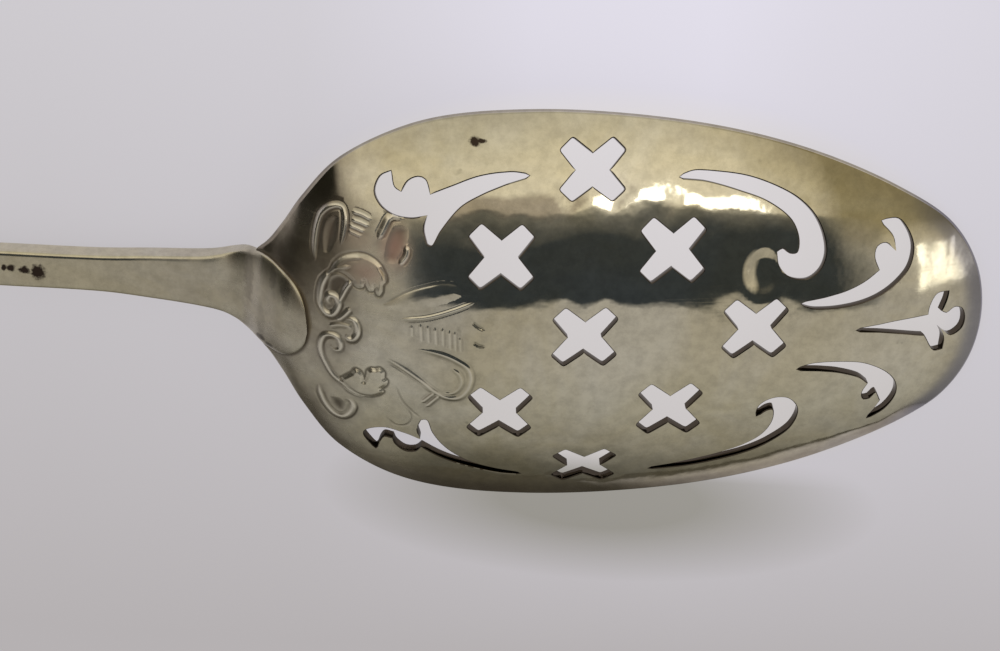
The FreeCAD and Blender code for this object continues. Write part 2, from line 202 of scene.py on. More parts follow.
RIDGES = (
    # open hood, on the near side
    (((2.75, 3.34), (2.71, 3.91), (2.75, 4.55), (2.89, 5.29), (3.07, 5.75), (3.44, 6.15),
      (3.88, 6.35), (4.14, 6.32), (4.27, 5.98), (4.28, 5.50), (4.20, 5.00), (4.08, 4.47)),
     0.18, 0.11),
    # strokes beside it
    (((4.66, 6.22), (5.14, 6.18), (5.65, 5.99)), 0.17, 0.09),
    (((4.66, 5.84), (5.14, 5.77), (5.51, 5.66)), 0.18, 0.10),
    (((4.52, 5.53), (4.92, 5.46), (5.29, 5.35)), 0.17, 0.09),
    (((4.48, 5.25), (4.85, 5.16), (5.15, 5.07)), 0.15, 0.05),
    # border of the patch by the opening
    (((6.00, 5.07), (6.25, 5.57), (6.53, 6.13), (6.75, 6.29), (7.26, 6.25)), 0.22, 0.10),
    (((7.50, 4.90), (7.45, 4.44), (7.12, 3.90)), 0.20, 0.10),
    # upper volute with its joining line, and the fold of its leaf
    (((3.60, 3.05), (3.17, 2.33), (3.01, 1.66), (3.02, 1.02), (3.29, 0.61), (3.59, 0.56),
      (3.88, 0.92), (3.98, 1.39), (3.77, 1.65), (3.51, 1.63), (3.40, 1.36), (3.55, 1.16)),
     0.22, 0.13),
    (((4.69, 2.67), (4.43, 2.31), (4.18, 1.79), (3.96, 1.30)), 0.16, 0.10),
    (((3.52, 2.80), (3.80, 3.13), (4.13, 3.31), (4.57, 3.48)), 0.14, 0.05),
    (((3.60, 3.10), (4.13, 3.74), (4.64, 4.00), (5.23, 4.10)), 0.20, 0.06),
    # small double curl between the volutes
    (((4.63, 1.16), (4.30, 0.71), (3.92, 0.31)), 0.18, 0.10),
    (((4.44, 0.51), (4.78, 0.50), (4.96, 0.16), (4.96, -0.30), (4.71, -0.66), (4.45, -0.63),
      (4.41, -0.46)), 0.20, 0.13),
    (((3.48, -0.14), (4.00, 0.08), (4.52, 0.07), (4.63, -0.08)), 0.16, 0.06),
    # lower volute
    (((3.59, -1.32), (3.78, -1.50), (4.04, -1.43), (4.11, -1.14), (3.97, -0.75),
      (3.63, -0.62), (3.25, -0.76), (3.03, -1.27), (3.06, -1.89), (3.29, -2.46),
      (3.66, -3.11), (4.16, -3.54), (4.61, -3.96), (5.14, -4.17), (5.67, -4.14)),
     0.19, 0.11),
    # small open curl below it
    (((2.94, -4.08), (3.05, -4.78), (3.32, -5.43), (3.77, -5.90), (4.23, -5.95), (4.61, -5.59),
      (4.78, -5.00), (4.61, -4.63), (4.42, -4.58)), 0.22, 0.12),
    # tapered ridge, the long loop and the flame
    (((7.18, 0.95), (8.55, 1.16), (9.91, 1.64), (11.01, 2.15)), 0.15, 0.06),
    (((6.22, -1.33), (7.26, -1.89), (8.18, -2.58), (9.02, -3.32), (9.70, -3.67),
      (10.28, -3.65), (10.70, -3.20), (10.91, -2.36), (10.73, -1.76), (10.14, -1.30),
      (9.39, -0.96), (8.40, -0.76), (7.90, -0.72)), 0.20, 0.065),
    (((9.82, -1.71), (10.28, -2.14), (10.42, -2.64), (10.22, -3.14), (9.77, -3.42),
      (9.27, -3.25)), 0.16, 0.05),
    (((9.02, -3.38), (8.37, -4.10)), 0.16, 0.07),
    (((9.29, -3.53), (8.58, -4.38)), 0.16, 0.07),
    (((6.22, 1.89), (7.53, 2.72), (8.42, 3.05), (9.23, 3.28), (10.05, 3.23), (10.43, 2.83)),
     0.16, 0.02),
    # hatching between the flame and the loop
    (((7.76, 0.67), (7.79, -0.03)), 0.12, 0.05),
    (((8.21, 0.81), (8.29, -0.30)), 0.12, 0.055),
    (((8.58, 0.76), (8.66, -0.37)), 0.12, 0.055),
    (((8.97, 0.63), (9.05, -0.46)), 0.12, 0.055),
    (((9.36, 0.64), (9.41, -0.52)), 0.12, 0.055),
    (((9.72, 0.53), (9.78, -0.69)), 0.12, 0.055),
    (((9.99, 0.50), (10.06, -0.81)), 0.12, 0.05),
    (((10.26, 0.14), (10.31, -0.80)), 0.12, 0.045),
)
GROOVES = (
    (((6.49, -1.65), (7.43, -2.20), (8.26, -2.78), (8.94, -3.27)), 0.14, -0.07),
    (((7.02, -3.17), (7.37, -4.09), (7.88, -4.74), (8.35, -5.19)), 0.14, -0.05),
    (((6.55, -5.39), (7.06, -5.86), (7.64, -5.75), (7.87, -5.20), (7.63, -4.55)), 0.14, -0.05),
    (((6.30, 1.70), (7.53, 2.52), (8.42, 2.87), (9.23, 3.08)), 0.12, -0.03),
    (((10.91, 1.04), (11.25, 0.74), (11.56, 0.60)), 0.16, -0.08),
    (((10.98, -0.13), (11.27, -0.33), (11.59, -0.39)), 0.16, -0.08),
    (((3.40, -0.46), (3.85, -0.42), (4.23, -0.59)), 0.16, -0.07),
    (((6.02, 3.65), (6.30, 3.35), (6.44, 2.90)), 0.16, -0.06),
)
SWELLS = (
    # leaf of the upper volute, scalloped below
    ((((3.47, 2.82), (3.72, 3.37), (4.13, 3.80), (4.64, 4.07), (5.23, 4.20), (5.75, 4.06),
       (6.15, 3.75), (6.42, 3.27)),
      ((6.42, 3.27), (6.45, 2.97), (6.28, 2.72)),
      ((6.28, 2.72), (6.24, 2.33), (6.06, 2.08), (5.91, 2.27), (5.87, 2.58)),
      ((5.87, 2.58), (5.77, 2.31), (5.58, 2.28), (5.43, 2.50), (5.32, 2.79)),
      ((5.32, 2.79), (5.28, 2.47), (5.03, 2.35), (4.77, 2.49), (4.69, 2.71)),
      ((4.69, 2.71), (4.35, 2.95), (3.91, 3.04), (3.47, 2.82))), 0.10, 0.22),
    # leaf of the lower volute, scalloped above
    ((((4.16, -3.20), (4.46, -2.93), (4.68, -2.73)),
      ((4.68, -2.73), (4.87, -2.45), (5.09, -2.49), (5.29, -2.78), (5.32, -3.15)),
      ((5.32, -3.15), (5.47, -2.74), (5.50, -2.45), (5.73, -2.23), (5.91, -2.23)),
      ((5.91, -2.23), (6.18, -2.15), (6.40, -2.36), (6.41, -2.74)),
      ((6.41, -2.74), (6.57, -2.89), (6.52, -3.18), (6.26, -3.48)),
      ((6.26, -3.48), (6.38, -3.64), (6.19, -3.88), (5.74, -4.13)),
      ((5.74, -4.13), (5.14, -4.15), (4.54, -3.89), (4.08, -3.47), (4.16, -3.20))), 0.10, 0.22),
    # flame above the tapered ridge
    ((((6.06, 1.73), (7.53, 2.72), (8.42, 3.05), (9.23, 3.28), (10.05, 3.23), (10.43, 2.83),
       (10.47, 2.40), (9.58, 1.87), (8.53, 1.56), (7.30, 1.33), (6.39, 1.29), (6.06, 1.73)),),
     0.05, 0.60),
)
HOLLOWS = (
    ((((3.09, 3.80), (3.08, 4.86), (3.30, 5.54), (3.74, 5.93), (4.04, 5.80), (4.08, 5.25),
       (3.90, 4.51), (3.46, 3.75), (3.09, 3.80)),), -0.10, 0.50),
    ((((6.16, 4.17), (6.31, 5.05), (6.66, 5.88), (7.22, 6.05), (7.68, 5.81), (7.64, 5.07),
       (7.34, 4.38), (6.94, 3.81), (6.43, 3.79), (6.16, 4.17)),), -0.07, 0.60),
    ((((3.39, 2.07), (3.47, 2.55), (3.91, 2.89), (4.36, 2.83), (4.54, 2.57), (4.22, 2.03),
       (3.84, 1.71), (3.47, 1.70), (3.39, 2.07)),), -0.09, 0.28),
    ((((3.39, -4.63), (3.58, -5.31), (4.01, -5.69), (4.38, -5.56), (4.46, -4.88),
       (4.08, -4.55), (3.39, -4.63)),), -0.08, 0.45),
)
CHASED_BOX = (-0.6, 11.9, -6.9, 6.6)
CHASED_REACH = 0.42
CHASED_CUTS = 4
RELIEF = 0.62
CRISP_BORDER = 0.3
BORDER_DIP = 0.035
RIDGE_DIP = 0.30
# darkness of the grime in hollows and grooves, and of the painted shadow line round crisp swells
HOLLOW_GRIME = 0.82
BORDER_SHADOW = 0.75
GROOVE_GRIME = 0.6
# plan direction from each ridge towards the side where its painted shadow lies
SHADED_SIDE = np.array((0.6, -0.8))
PUNCH_DEPTH = 0.05

# Stains, X and Y in mm: (centre, reach along, reach across, strength)
BLUSH = (
    ((6.85, 4.75), 0.75, 1.05, 1.0), ((5.40, 3.35), 0.95, 0.60, 0.75), ((4.9, 4.9), 1.1, 0.7, 0.35),
)
DENTS = (
    ((25.95, 3.55), 0.86, 1.15, 0.17), ((11.6, 6.0), 1.6, 0.9, 0.012),
    ((19.0, 6.6), 2.4, 0.8, 0.012),
)
CLOUDS = (
    ((30.9, 5.35), 1.30, 0.75, 0.50), ((29.4, 6.3), 0.70, 0.35, 0.30),
    ((21.4, 10.2), 1.6, 0.45, 0.35), ((14.9, 10.5), 1.3, 0.40, 0.30),
)
BLANK_PUNCHES = (
    ((-13.95, 0.10), 0.17, 0.23, 1.0), ((-13.58, 0.12), 0.28, 0.22, 1.0),
    ((-12.86, 0.04), 0.34, 0.25, 1.0), ((-12.12, -0.06), 0.45, 0.48, 1.0),
)
PITS = (
    ((10.85, 10.02), 0.30, 0.26, 1.0), ((11.25, 10.05), 0.30, 0.12, 1.0),
    ((-0.75, 1.10), 0.34, 1.90, 0.30), ((-0.10, -1.10), 0.28, 1.10, 0.16),
    ((1.25, 1.20), 0.34, 1.00, 0.34), ((0.55, 1.60), 0.24, 0.80, 0.30),
    ((-0.15, -2.35), 0.30, 0.24, 0.70), ((0.30, -2.62), 0.26, 0.20, 0.55),
)

# Tongue of the stem on the back: (X, reach to the near side, reach to the far side)
TONGUE = (
    (-1.30, 2.15, 2.15), (-0.70, 2.42, 2.45), (-0.10, 2.58, 2.78), (0.40, 2.50, 2.92),
    (0.90, 2.29, 2.93), (1.40, 2.00, 2.66), (1.80, 1.62, 2.30), (2.08, 1.12, 1.90),
    (2.24, 0.55, 1.50), (2.32, -0.20, 1.00),
)
TONGUE_HEIGHT = 0.30
TONGUE_ROOT = -3.4
TONGUE_SUNK = 0.33
# the stem's sections: start, step and number of each evenly spaced run
STEM_RUNS = ((0.0, -0.2, 26), (-5.5, -0.45, 12), (-10.9, -0.12, 30))

# Where the shared frame has the heel point of the bowl, and how far it is tilted
HEEL_PLACE = (32.478, 0.0, 3.878)
TILT = math.radians(5.857)


# Sizes, surfaces and outlines

def sizes():
    return bpy.context.scene.mote_spoon_sizes


def value_at(table, x):
    """Smooth value between the points of a short (place, value) table."""
    places = np.array([p for p, _ in table])
    values = np.array([v for _, v in table])
    last = len(table) - 1
    ahead = np.minimum(np.arange(last + 1) + 1, last)
    behind = np.maximum(np.arange(last + 1) - 1, 0)
    slopes = (values[ahead] - values[behind]) / (places[ahead] - places[behind])
    x = np.asarray(x, dtype=float)
    i = np.clip(np.searchsorted(places, x, side="left") - 1, 0, last - 1)
    span = places[i + 1] - places[i]
    t = (x - places[i]) / span
    inside = (
        values[i] * (1 + 2 * t) * (1 - t) ** 2 + slopes[i] * span * t * (1 - t) ** 2
        + values[i + 1] * t * t * (3 - 2 * t) - slopes[i + 1] * span * t * t * (1 - t)
    )
    before = values[i] + slopes[i] * (x - places[i])
    after = values[i + 1] + slopes[i + 1] * (x - places[i + 1])
    return np.where(t < 0, before, np.where(t > 1, after, inside))


def step(low, high, x):
    """Smooth step from 0 at low to 1 at high."""
    t = np.clip((x - low) / (high - low), 0, 1)
    return t * t * (3 - 2 * t)


def bell(d, reach, power=2):
    """Soft fall from 1 at no distance, with a flatter middle at a higher power."""
    return np.exp(-(d / reach) ** power)


def half_width(x):
    s = sizes()
    return s.bowl_width / 2 / MM * value_at(RIM_SHAPE, x / (s.bowl_length / MM))


def keel_height(x):
    s = sizes()
    return s.bowl_depth / MM * value_at(KEEL_SHAPE, x / (s.bowl_length / MM))


def rim_height(x):
    short = 1 - np.asarray(x, dtype=float) / HEEL_SWEEP_LENGTH
    return np.where(short > 0, -HEEL_SWEEP_DROP * short ** 2, 0.0)


def back_height(x, y):
    """Height of the outer skin of the bowl."""
    x = np.asarray(x, dtype=float)
    length = sizes().bowl_length / MM
    edge = rim_height(x) + RIM_EDGE
    rise = keel_height(x) - edge
    x_curved = np.clip(x, 0.0, RIM_SHAPE[-1][0] * length)
    rise_curved = keel_height(x_curved) - rim_height(x_curved) - RIM_EDGE
    share = np.minimum(np.abs(y) / half_width(x_curved), 1.15) ** 2
    return edge + rise - rise_curved * (
        BACK_ROUNDNESS * share + (1 - BACK_ROUNDNESS) * share * share)


def back_normal(x, y):
    return slope_normal(back_height, np.asarray(x, dtype=float), np.asarray(y, dtype=float))


def worn_down(x, y):
    """How far use and the saw have sunk the sheet."""
    plan = np.column_stack([np.ravel(x), np.ravel(y)])
    return stain(plan, DENTS, 2).reshape(np.shape(x)) + cross_dish(x, y)


def worn_back(x, y):
    return back_height(x, y) - worn_down(x, y)


def slope_normal(surface, x, y, step_size=0.01):
    dx = (surface(x + step_size, y) - surface(x - step_size, y)) / (2 * step_size)
    dy = (surface(x, y + step_size) - surface(x, y - step_size)) / (2 * step_size)
    n = np.stack([-dx, -dy, np.ones_like(dx)], axis=-1)
    return n / np.linalg.norm(n, axis=-1, keepdims=True)


def front_height(x, y):
    sheet = sizes().sheet / MM
    return back_height(x, y) - sheet / np.maximum(back_normal(x, y)[..., 2], 0.5)


def smooth_line(points, spacing):
    """Points along a smooth curve through the given ones, about a spacing apart."""
    p = np.array(points, dtype=float)
    if len(p) == 2:
        n = max(1, int(round(np.linalg.norm(p[1] - p[0]) / spacing)))
        t = np.linspace(0, 1, n + 1)[:, None]
        return p[0] * (1 - t) + p[1] * t
    ends = [2 * p[0] - p[1], *p, 2 * p[-1] - p[-2]]
    out = [p[0]]
    for i in range(len(p) - 1):
        a, b, c, d = ends[i:i + 4]
        steps = [max(np.linalg.norm(v - u), 1e-6) ** 0.5 for u, v in ((a, b), (b, c), (c, d))]
        m1 = steps[1] * ((b - a) / steps[0] - (c - a) / (steps[0] + steps[1]) + (c - b) / steps[1])
        m2 = steps[1] * ((c - b) / steps[1] - (d - b) / (steps[1] + steps[2]) + (d - c) / steps[2])
        n = max(2, int(round(np.linalg.norm(c - b) / spacing)))
        for k in range(1, n + 1):
            t = k / n
            out.append(
                (2 * t ** 3 - 3 * t ** 2 + 1) * b + (t ** 3 - 2 * t ** 2 + t) * m1
                + (3 * t ** 2 - 2 * t ** 3) * c + (t ** 3 - t ** 2) * m2)
    return np.array(out)


def closed_outline(stretches, spacing):
    """The stretches joined into one loop, running anticlockwise."""
    loop = np.concatenate([smooth_line(s, spacing)[:-1] for s in stretches])
    ahead = np.roll(loop, -1, axis=0)
    area = np.sum(loop[:, 0] * ahead[:, 1] - ahead[:, 0] * loop[:, 1])
    return loop if area > 0 else loop[::-1].copy()


def cross_outline(x, y, steep, spacing):
    """Four arms with straight sides and worn corners, a notch between each two."""
    centre = np.array((x, y))
    squash = np.array((1.0, steep))
    stretches = []
    for i in range(4):
        turn = math.radians(45 + 90 * i)
        along = np.array((math.cos(turn), math.sin(turn)))
        across = np.array((-math.sin(turn), math.cos(turn)))
        before = CROSS_NOTCH * (along - across) / math.sqrt(2)
        after = CROSS_NOTCH * (along + across) / math.sqrt(2)
        right = along * CROSS_REACH - across * CROSS_ARM / 2
        left = along * CROSS_REACH + across * CROSS_ARM / 2
        last = before
        for back, corner, ahead in ((before, right, left), (right, left, after)):
            enter = corner + (back - corner) * CORNER_WEAR / np.linalg.norm(back - corner)
            leave = corner + (ahead - corner) * CORNER_WEAR / np.linalg.norm(ahead - corner)
            middle = 0.2 * enter + 0.6 * corner + 0.2 * leave
            stretches.append([tuple(centre + p * squash) for p in (last, enter)])
            stretches.append([tuple(centre + p * squash) for p in (enter, middle, leave)])
            last = leave
        stretches.append([tuple(centre + p * squash) for p in (last, after)])
    return closed_outline(stretches, spacing)


def blunted(loop):
    """The loop a little widened towards each of its sharp tips."""
    ahead = np.roll(loop, -1, axis=0) - loop
    behind = loop - np.roll(loop, 1, axis=0)
    cross = behind[:, 0] * ahead[:, 1] - behind[:, 1] * ahead[:, 0]
    turn = np.arctan2(cross, (ahead * behind).sum(axis=1))
    tips = loop[turn > TIP_TURN]
    if not len(tips):
        return loop
    gap = np.linalg.norm(loop[:, None] - tips[None], axis=2).min(axis=1)
    return loop + outward(loop) * (TIP_GROWTH * np.clip(1 - gap / TIP_REACH, 0, 1))[:, None]


def cross_dish(x, y):
    """How far the metal sinks towards the edge of each cross, pressed by the saw."""
    sunk = np.zeros(np.shape(x))
    for cx, cy, steep in CROSSES:
        u = np.abs((x - cx) + (y - cy) / steep) / math.sqrt(2)
        v = np.abs((x - cx) - (y - cy) / steep) / math.sqrt(2)
        gap = np.full(np.shape(x), 1e9)
        for a, b in ((u, v), (v, u)):
            gap = np.minimum(gap, np.hypot(
                np.maximum(a - CROSS_REACH, 0), np.maximum(b - CROSS_ARM / 2, 0)))
        sunk = np.maximum(sunk, DISH_DEPTH * bell(gap, DISH_REACH))
    return sunk


def rim_outline(spacing):
    s = sizes()
    length = s.bowl_length / MM
    width = s.bowl_width / 2 / MM
    side = [(x * length, w * width) for x, w in RIM_SHAPE[1:] + RIM_TIP[:1]]
    around = side + [(length, 0.0)] + [(x, -y) for x, y in reversed(side)]
    return closed_outline([around, [around[-1], around[0]]], spacing)


def outward(loop):
    """Unit vectors out of an anticlockwise loop, in plan."""
    ahead = np.roll(loop, -1, axis=0) - loop
    behind = loop - np.roll(loop, 1, axis=0)
    ahead /= np.linalg.norm(ahead, axis=1, keepdims=True)
    behind /= np.linalg.norm(behind, axis=1, keepdims=True)
    along = ahead + behind
    along /= np.maximum(np.linalg.norm(along, axis=1, keepdims=True), 1e-6)
    return np.stack([along[:, 1], -along[:, 0]], axis=1)


# Modelling helpers

def start_fresh():
    if bpy.context.object is not None and bpy.context.object.mode != "OBJECT":
        bpy.ops.object.mode_set(mode="OBJECT")
    bpy.ops.object.select_all(action="DESELECT")


def choose(obj):
    start_fresh()
    obj.select_set(True)
    bpy.context.view_layer.objects.active = obj


def edit_whole(obj):
    choose(obj)
    bpy.ops.object.mode_set(mode="EDIT")
    bpy.ops.mesh.select_all(action="SELECT")


def extrude(*way):
    bpy.ops.mesh.extrude_region_move(TRANSFORM_OT_translate={"value": way})


def face_outwards():
    """Turn every face outwards and leave edit mode."""
    bpy.ops.mesh.select_all(action="SELECT")
    bpy.ops.mesh.normals_make_consistent(inside=False)
    bpy.ops.object.mode_set(mode="OBJECT")


def points_of(obj):
    co = np.empty(len(obj.data.vertices) * 3)
    obj.data.vertices.foreach_get("co", co)
    return co.reshape(-1, 3)


def set_points(obj, co):
    obj.data.vertices.foreach_set("co", np.ascontiguousarray(co, dtype=np.float32).ravel())
    obj.data.update()


def mark(obj, name, values, domain="POINT"):
    """Keep one shade of the finish as a value at each point or face."""
    shade = obj.data.attributes.new(name, "FLOAT", domain)
    shade.data.foreach_set("value", values)


def spread_grid(x_cells, y_cells, start, end, across):
    """A flat grid between two places along X, in mm."""
    start_fresh()
    bpy.ops.mesh.primitive_grid_add(
        x_subdivisions=x_cells, y_subdivisions=y_cells, size=1, location=(0, 0, 0))
    grid = bpy.context.object
    co = points_of(grid)
    co[:, 0] = start + (co[:, 0] + 0.5) * (end - start)
    co[:, 1] *= across
    return grid, co


def draw_out(obj, rings):
    """Extrude the object's ring through the others, each point to its own."""
    bpy.ops.object.mode_set(mode="EDIT")
    bm = bmesh.from_edit_mesh(obj.data)
    bm.verts.ensure_lookup_table()
    for v, p in zip(bm.verts, rings[0]):
        v.co = p
    bpy.ops.mesh.select_mode(type="FACE")
    bpy.ops.mesh.select_all(action="SELECT")
    for old, new in zip(rings, rings[1:]):
        extrude(new[0][0] - old[0][0], 0, 0)
        bm = bmesh.from_edit_mesh(obj.data)
        # the new end face keeps the order of its ring
        face = [f for f in bm.faces if f.select and len(f.verts) == len(new)][-1]
        for v in face.verts:
            gap = (old[:, 1] - v.co.y) ** 2 + (old[:, 2] - v.co.z) ** 2
            v.co = new[int(np.argmin(gap))]
        bmesh.update_edit_mesh(obj.data)
    face_outwards()


def apply_boolean(obj, tool, operation):
    choose(obj)
    cut = obj.modifiers.new("cut", "BOOLEAN")
    cut.operation = operation
    cut.solver = "EXACT"
    cut.object = tool
    bpy.ops.object.modifier_apply(modifier="cut")
    choose(tool)
    bpy.ops.object.delete()


def ring_tool(name, rings):
    """A closed tool through loops of points, each ring joined to the next."""
    count = len(rings[0])
    verts = np.concatenate(rings)
    faces = [list(range(count))[::-1]]
    for r in range(len(rings) - 1):
        for i in range(count):
            j = (i + 1) % count
            faces.append([r * count + i, r * count + j, (r + 1) * count + j, (r + 1) * count + i])
    faces.append([(len(rings) - 1) * count + i for i in range(count)])
    mesh = bpy.data.meshes.new(name)
    mesh.from_pydata([tuple(v) for v in verts], [], faces)
    obj = bpy.data.objects.new(name, mesh)
    bpy.context.collection.objects.link(obj)
    return obj


def flare(loop, reach):
    """How far each place of a loop may be worn back without meeting another place."""
    out = outward(loop)
    free = np.ones(len(loop))
    for share in (1.0, 1.5, 2.2):
        d = distance_round(loop + out * reach * share, loop)
        free = np.minimum(free, np.clip((d / (reach * share) - 0.5) / 0.45, 0, 1))
    free = np.minimum(free, np.minimum(np.roll(free, 1) + 0.25, np.roll(free, -1) + 0.25))
    return out * free[:, None]


def on_back(plan, depth):
    z = back_height(plan[:, 0], plan[:, 1])
    return np.column_stack([plan, z - depth])


def punch_tool(name, loop):
    """Punch for one opening, square to the metal, its upper edge slightly flared."""
    centre2 = loop.mean(axis=0)
    n = back_normal(centre2[0], centre2[1])
    centre = np.array([*centre2, float(back_height(*centre2))])
    ease = sizes().edge_ease / MM
    out = flare(loop, ease)
    base = on_back(loop, 0.0)

    def flat(ring, level):
        return ring - np.outer((ring - centre) @ n, n) + n * level

    rings = [flat(base, -PUNCH_BELOW), base - n * ease]
    for grow, down in ((0.30, 0.30), (1.0, 0.0)):
        rings.append(on_back(loop + out * ease * grow, 0.0) - n * ease * down)
    wide = on_back(loop + out * ease * 1.5, 0.0) + n * ease * 0.8
    rings += [wide, flat(wide, PUNCH_ABOVE)]
    return ring_tool(name, rings)


def join_all(objects):
    start_fresh()
    for o in objects:
        o.select_set(True)
    bpy.context.view_layer.objects.active = objects[0]
    bpy.ops.object.join()
    return objects[0]


def bowl_place():
    """Where the bowl's frame stands in the shared one, in mm."""
    return Matrix.Translation(Vector(HEEL_PLACE)) @ Matrix.Rotation(TILT, 4, "Y")


def lay_down(obj):
    """From millimetres in the bowl's frame to metres in the shared frame."""
    obj.data.transform(Matrix.Scale(MM, 4) @ bowl_place())
    obj.data.update()


def settle_skins(obj, skins):
    """Shade both skins of the sheet by the smooth surface that they are cut from."""
    mesh = obj.data
    turn = np.array(Matrix.Rotation(TILT, 3, "Y"))
    place = np.array(HEEL_PLACE)
    co = (points_of(obj) / MM - place) @ turn
    corners = np.empty(len(mesh.loops), dtype=int)
    mesh.loops.foreach_get("vertex_index", corners)
    count = len(mesh.polygons)
    starts = np.empty(count, dtype=int)
    totals = np.empty(count, dtype=int)
    flat = np.empty(count * 3)
    mesh.polygons.foreach_get("loop_start", starts)
    mesh.polygons.foreach_get("loop_total", totals)
    mesh.polygons.foreach_get("normal", flat)
    flat = flat.reshape(-1, 3) @ turn
    owner = np.repeat(np.arange(count), totals)
    normals = np.zeros((len(corners), 3))
    for surface, side in skins:
        off = np.abs(co[:, 2] - surface(co[:, 0], co[:, 1])) > SKIN_GAP
        astray = np.bincount(owner, weights=off[corners], minlength=count) > 0
        smooth = side * slope_normal(surface, co[corners, 0], co[corners, 1], SHADING_STEP)
        agrees = np.einsum("ij,ij->i", smooth, flat[owner]) > 0.97
        chosen = agrees & ~astray[owner]
        normals[chosen] = smooth[chosen]
    mesh.normals_split_custom_set([tuple(n) for n in normals @ turn.T])


def distance_to(points, line):
    """Distance from each point to a polyline, and how far along it is nearest."""
    best = np.full(len(points), 1e9)
    where = np.zeros(len(points))
    count = len(line) - 1
    for i in range(count):
        a, b = line[i], line[i + 1]
        ab = b - a
        t = np.clip(((points - a) @ ab) / max(ab @ ab, 1e-12), 0, 1)
        d = np.linalg.norm(points - a - t[:, None] * ab, axis=1)
        near = d < best
        best[near] = d[near]
        where[near] = (i + t[near]) / count
    return best, where


def distance_round(points, loop):
    """Distance from each point to a closed loop."""
    return distance_to(points, np.concatenate([loop, loop[:1]]))[0]


def near_box(points, line, margin):
    """Which points lie in the box of a line, with a margin round it."""
    low = line.min(axis=0) - margin
    high = line.max(axis=0) + margin
    return ((points > low) & (points < high)).all(axis=1)


def inside_of(points, loop):
    inside = np.zeros(len(points), dtype=bool)
    for a, b in zip(loop, np.roll(loop, -1, axis=0)):
        if a[1] == b[1]:
            continue
        spans = (a[1] > points[:, 1]) != (b[1] > points[:, 1])
        cross = a[0] + (points[:, 1] - a[1]) * (b[0] - a[0]) / (b[1] - a[1])
        inside ^= spans & (points[:, 0] < cross)
    return inside


def chased_areas(plan):
    """How far the swells and hollows lift or sink the back, the grime in the hollows and the painted
    shadow round crisp swells.
    """
    lift = np.zeros(len(plan))
    chased_grime_and_shade = np.zeros(len(plan))
    for stretches, height, soft in SWELLS + HOLLOWS:
        loop = closed_outline(stretches, 0.08)
        near = near_box(plan, loop, 0.3)
        d = distance_round(plan[near], loop)
        inside = inside_of(plan[near], loop)
        share = step(0.0, soft, d) * inside
        lift[near] += height * share
        if height < 0:
            chased_grime_and_shade[near] = np.maximum(chased_grime_and_shade[near], HOLLOW_GRIME * share)
        elif soft < CRISP_BORDER:
            # just outside a crisp swell: a painted shadow line, and a slight dip of the ground
            border = bell(d - 0.05, 0.07) * ~inside
            chased_grime_and_shade[near] = np.maximum(chased_grime_and_shade[near], BORDER_SHADOW * border)
            lift[near] -= BORDER_DIP * border
    return lift, chased_grime_and_shade


def chased_lines(plan):
    """Height of the ridges and depth of the grooves, with the grime in the grooves, and grime and
    painted shadow beside the ridges.
    """
    ridge, groove, grime_and_shadow_beside, ridge_haze_and_shadow = np.zeros((4, len(plan)))
    for line, width, height in RIDGES + GROOVES:
        smooth = smooth_line(line, 0.10)
        near = near_box(plan, smooth, 0.6)
        d, along = distance_to(plan[near], smooth)
        # lean: a third on both sides of a ridge, in full on the side where its painted shadow lies
        shifted, _ = distance_to(plan[near] + SHADED_SIDE * 0.04, smooth)
        lean = 0.35 + 0.65 * np.clip((shifted - d) / 0.03, 0, 1)
        taper = np.clip(np.minimum(along, 1 - along) * 5 + 0.25, 0, 1)
        reach = width * (0.45 + 0.55 * taper)
        profile = RELIEF * height * taper * bell(d, 0.55 * reach)
        if height > 0:
            ridge[near] = np.maximum(ridge[near], profile)
            # the tool sinks the ground on both sides of a ridge
            dip = RIDGE_DIP * height * taper * bell(d - 1.05 * reach, 0.07)
            groove[near] = np.minimum(groove[near], -dip)
            # dark at a ridge's foot, grime on both sides and painted shadow on its shaded side, and
            # a wider haze round it, heavier as painted shadow on that side
            dark = np.clip(height * 8, 0, 0.95) * taper * bell(d - reach, 0.09)
            grime_and_shadow_beside[near] = np.maximum(grime_and_shadow_beside[near], dark * lean)
            ridge_haze_and_shadow[near] = np.maximum(ridge_haze_and_shadow[near], height * 3.3 * lean * bell(d, 0.42))
        else:
            groove[near] = np.minimum(groove[near], profile)
            grime_and_shadow_beside[near] = np.maximum(grime_and_shadow_beside[near], GROOVE_GRIME * profile / height)
    return ridge, groove, grime_and_shadow_beside, ridge_haze_and_shadow


def chased(plan):
    """How far the chased work lifts or sinks the back, its grime and painted shadow, and its rubbed
    crests.
    """
    lift, chased_grime_and_shade = chased_areas(plan)
    ridge, groove, grime_and_shadow_beside, ridge_haze_and_shadow = chased_lines(plan)
    bare = 1 - np.clip(ridge / 0.04, 0, 1)
    lift += ridge + groove * bare
    dark = np.maximum(np.maximum(grime_and_shadow_beside, chased_grime_and_shade), ridge_haze_and_shadow) * (0.15 + 0.85 * bare)
    return lift, dark, step(0.012, 0.05, ridge)


def stain(plan, spots, power=1):
    """Strength at each place of soft round stains, with flat middles at a higher power."""
    strength = np.zeros(len(plan))
    for centre, along, across, share in spots:
        d2 = ((plan[:, 0] - centre[0]) / along) ** 2 + ((plan[:, 1] - centre[1]) / across) ** 2
        strength = np.maximum(strength, share * np.exp(-d2 ** power))
    return strength


# Finishes

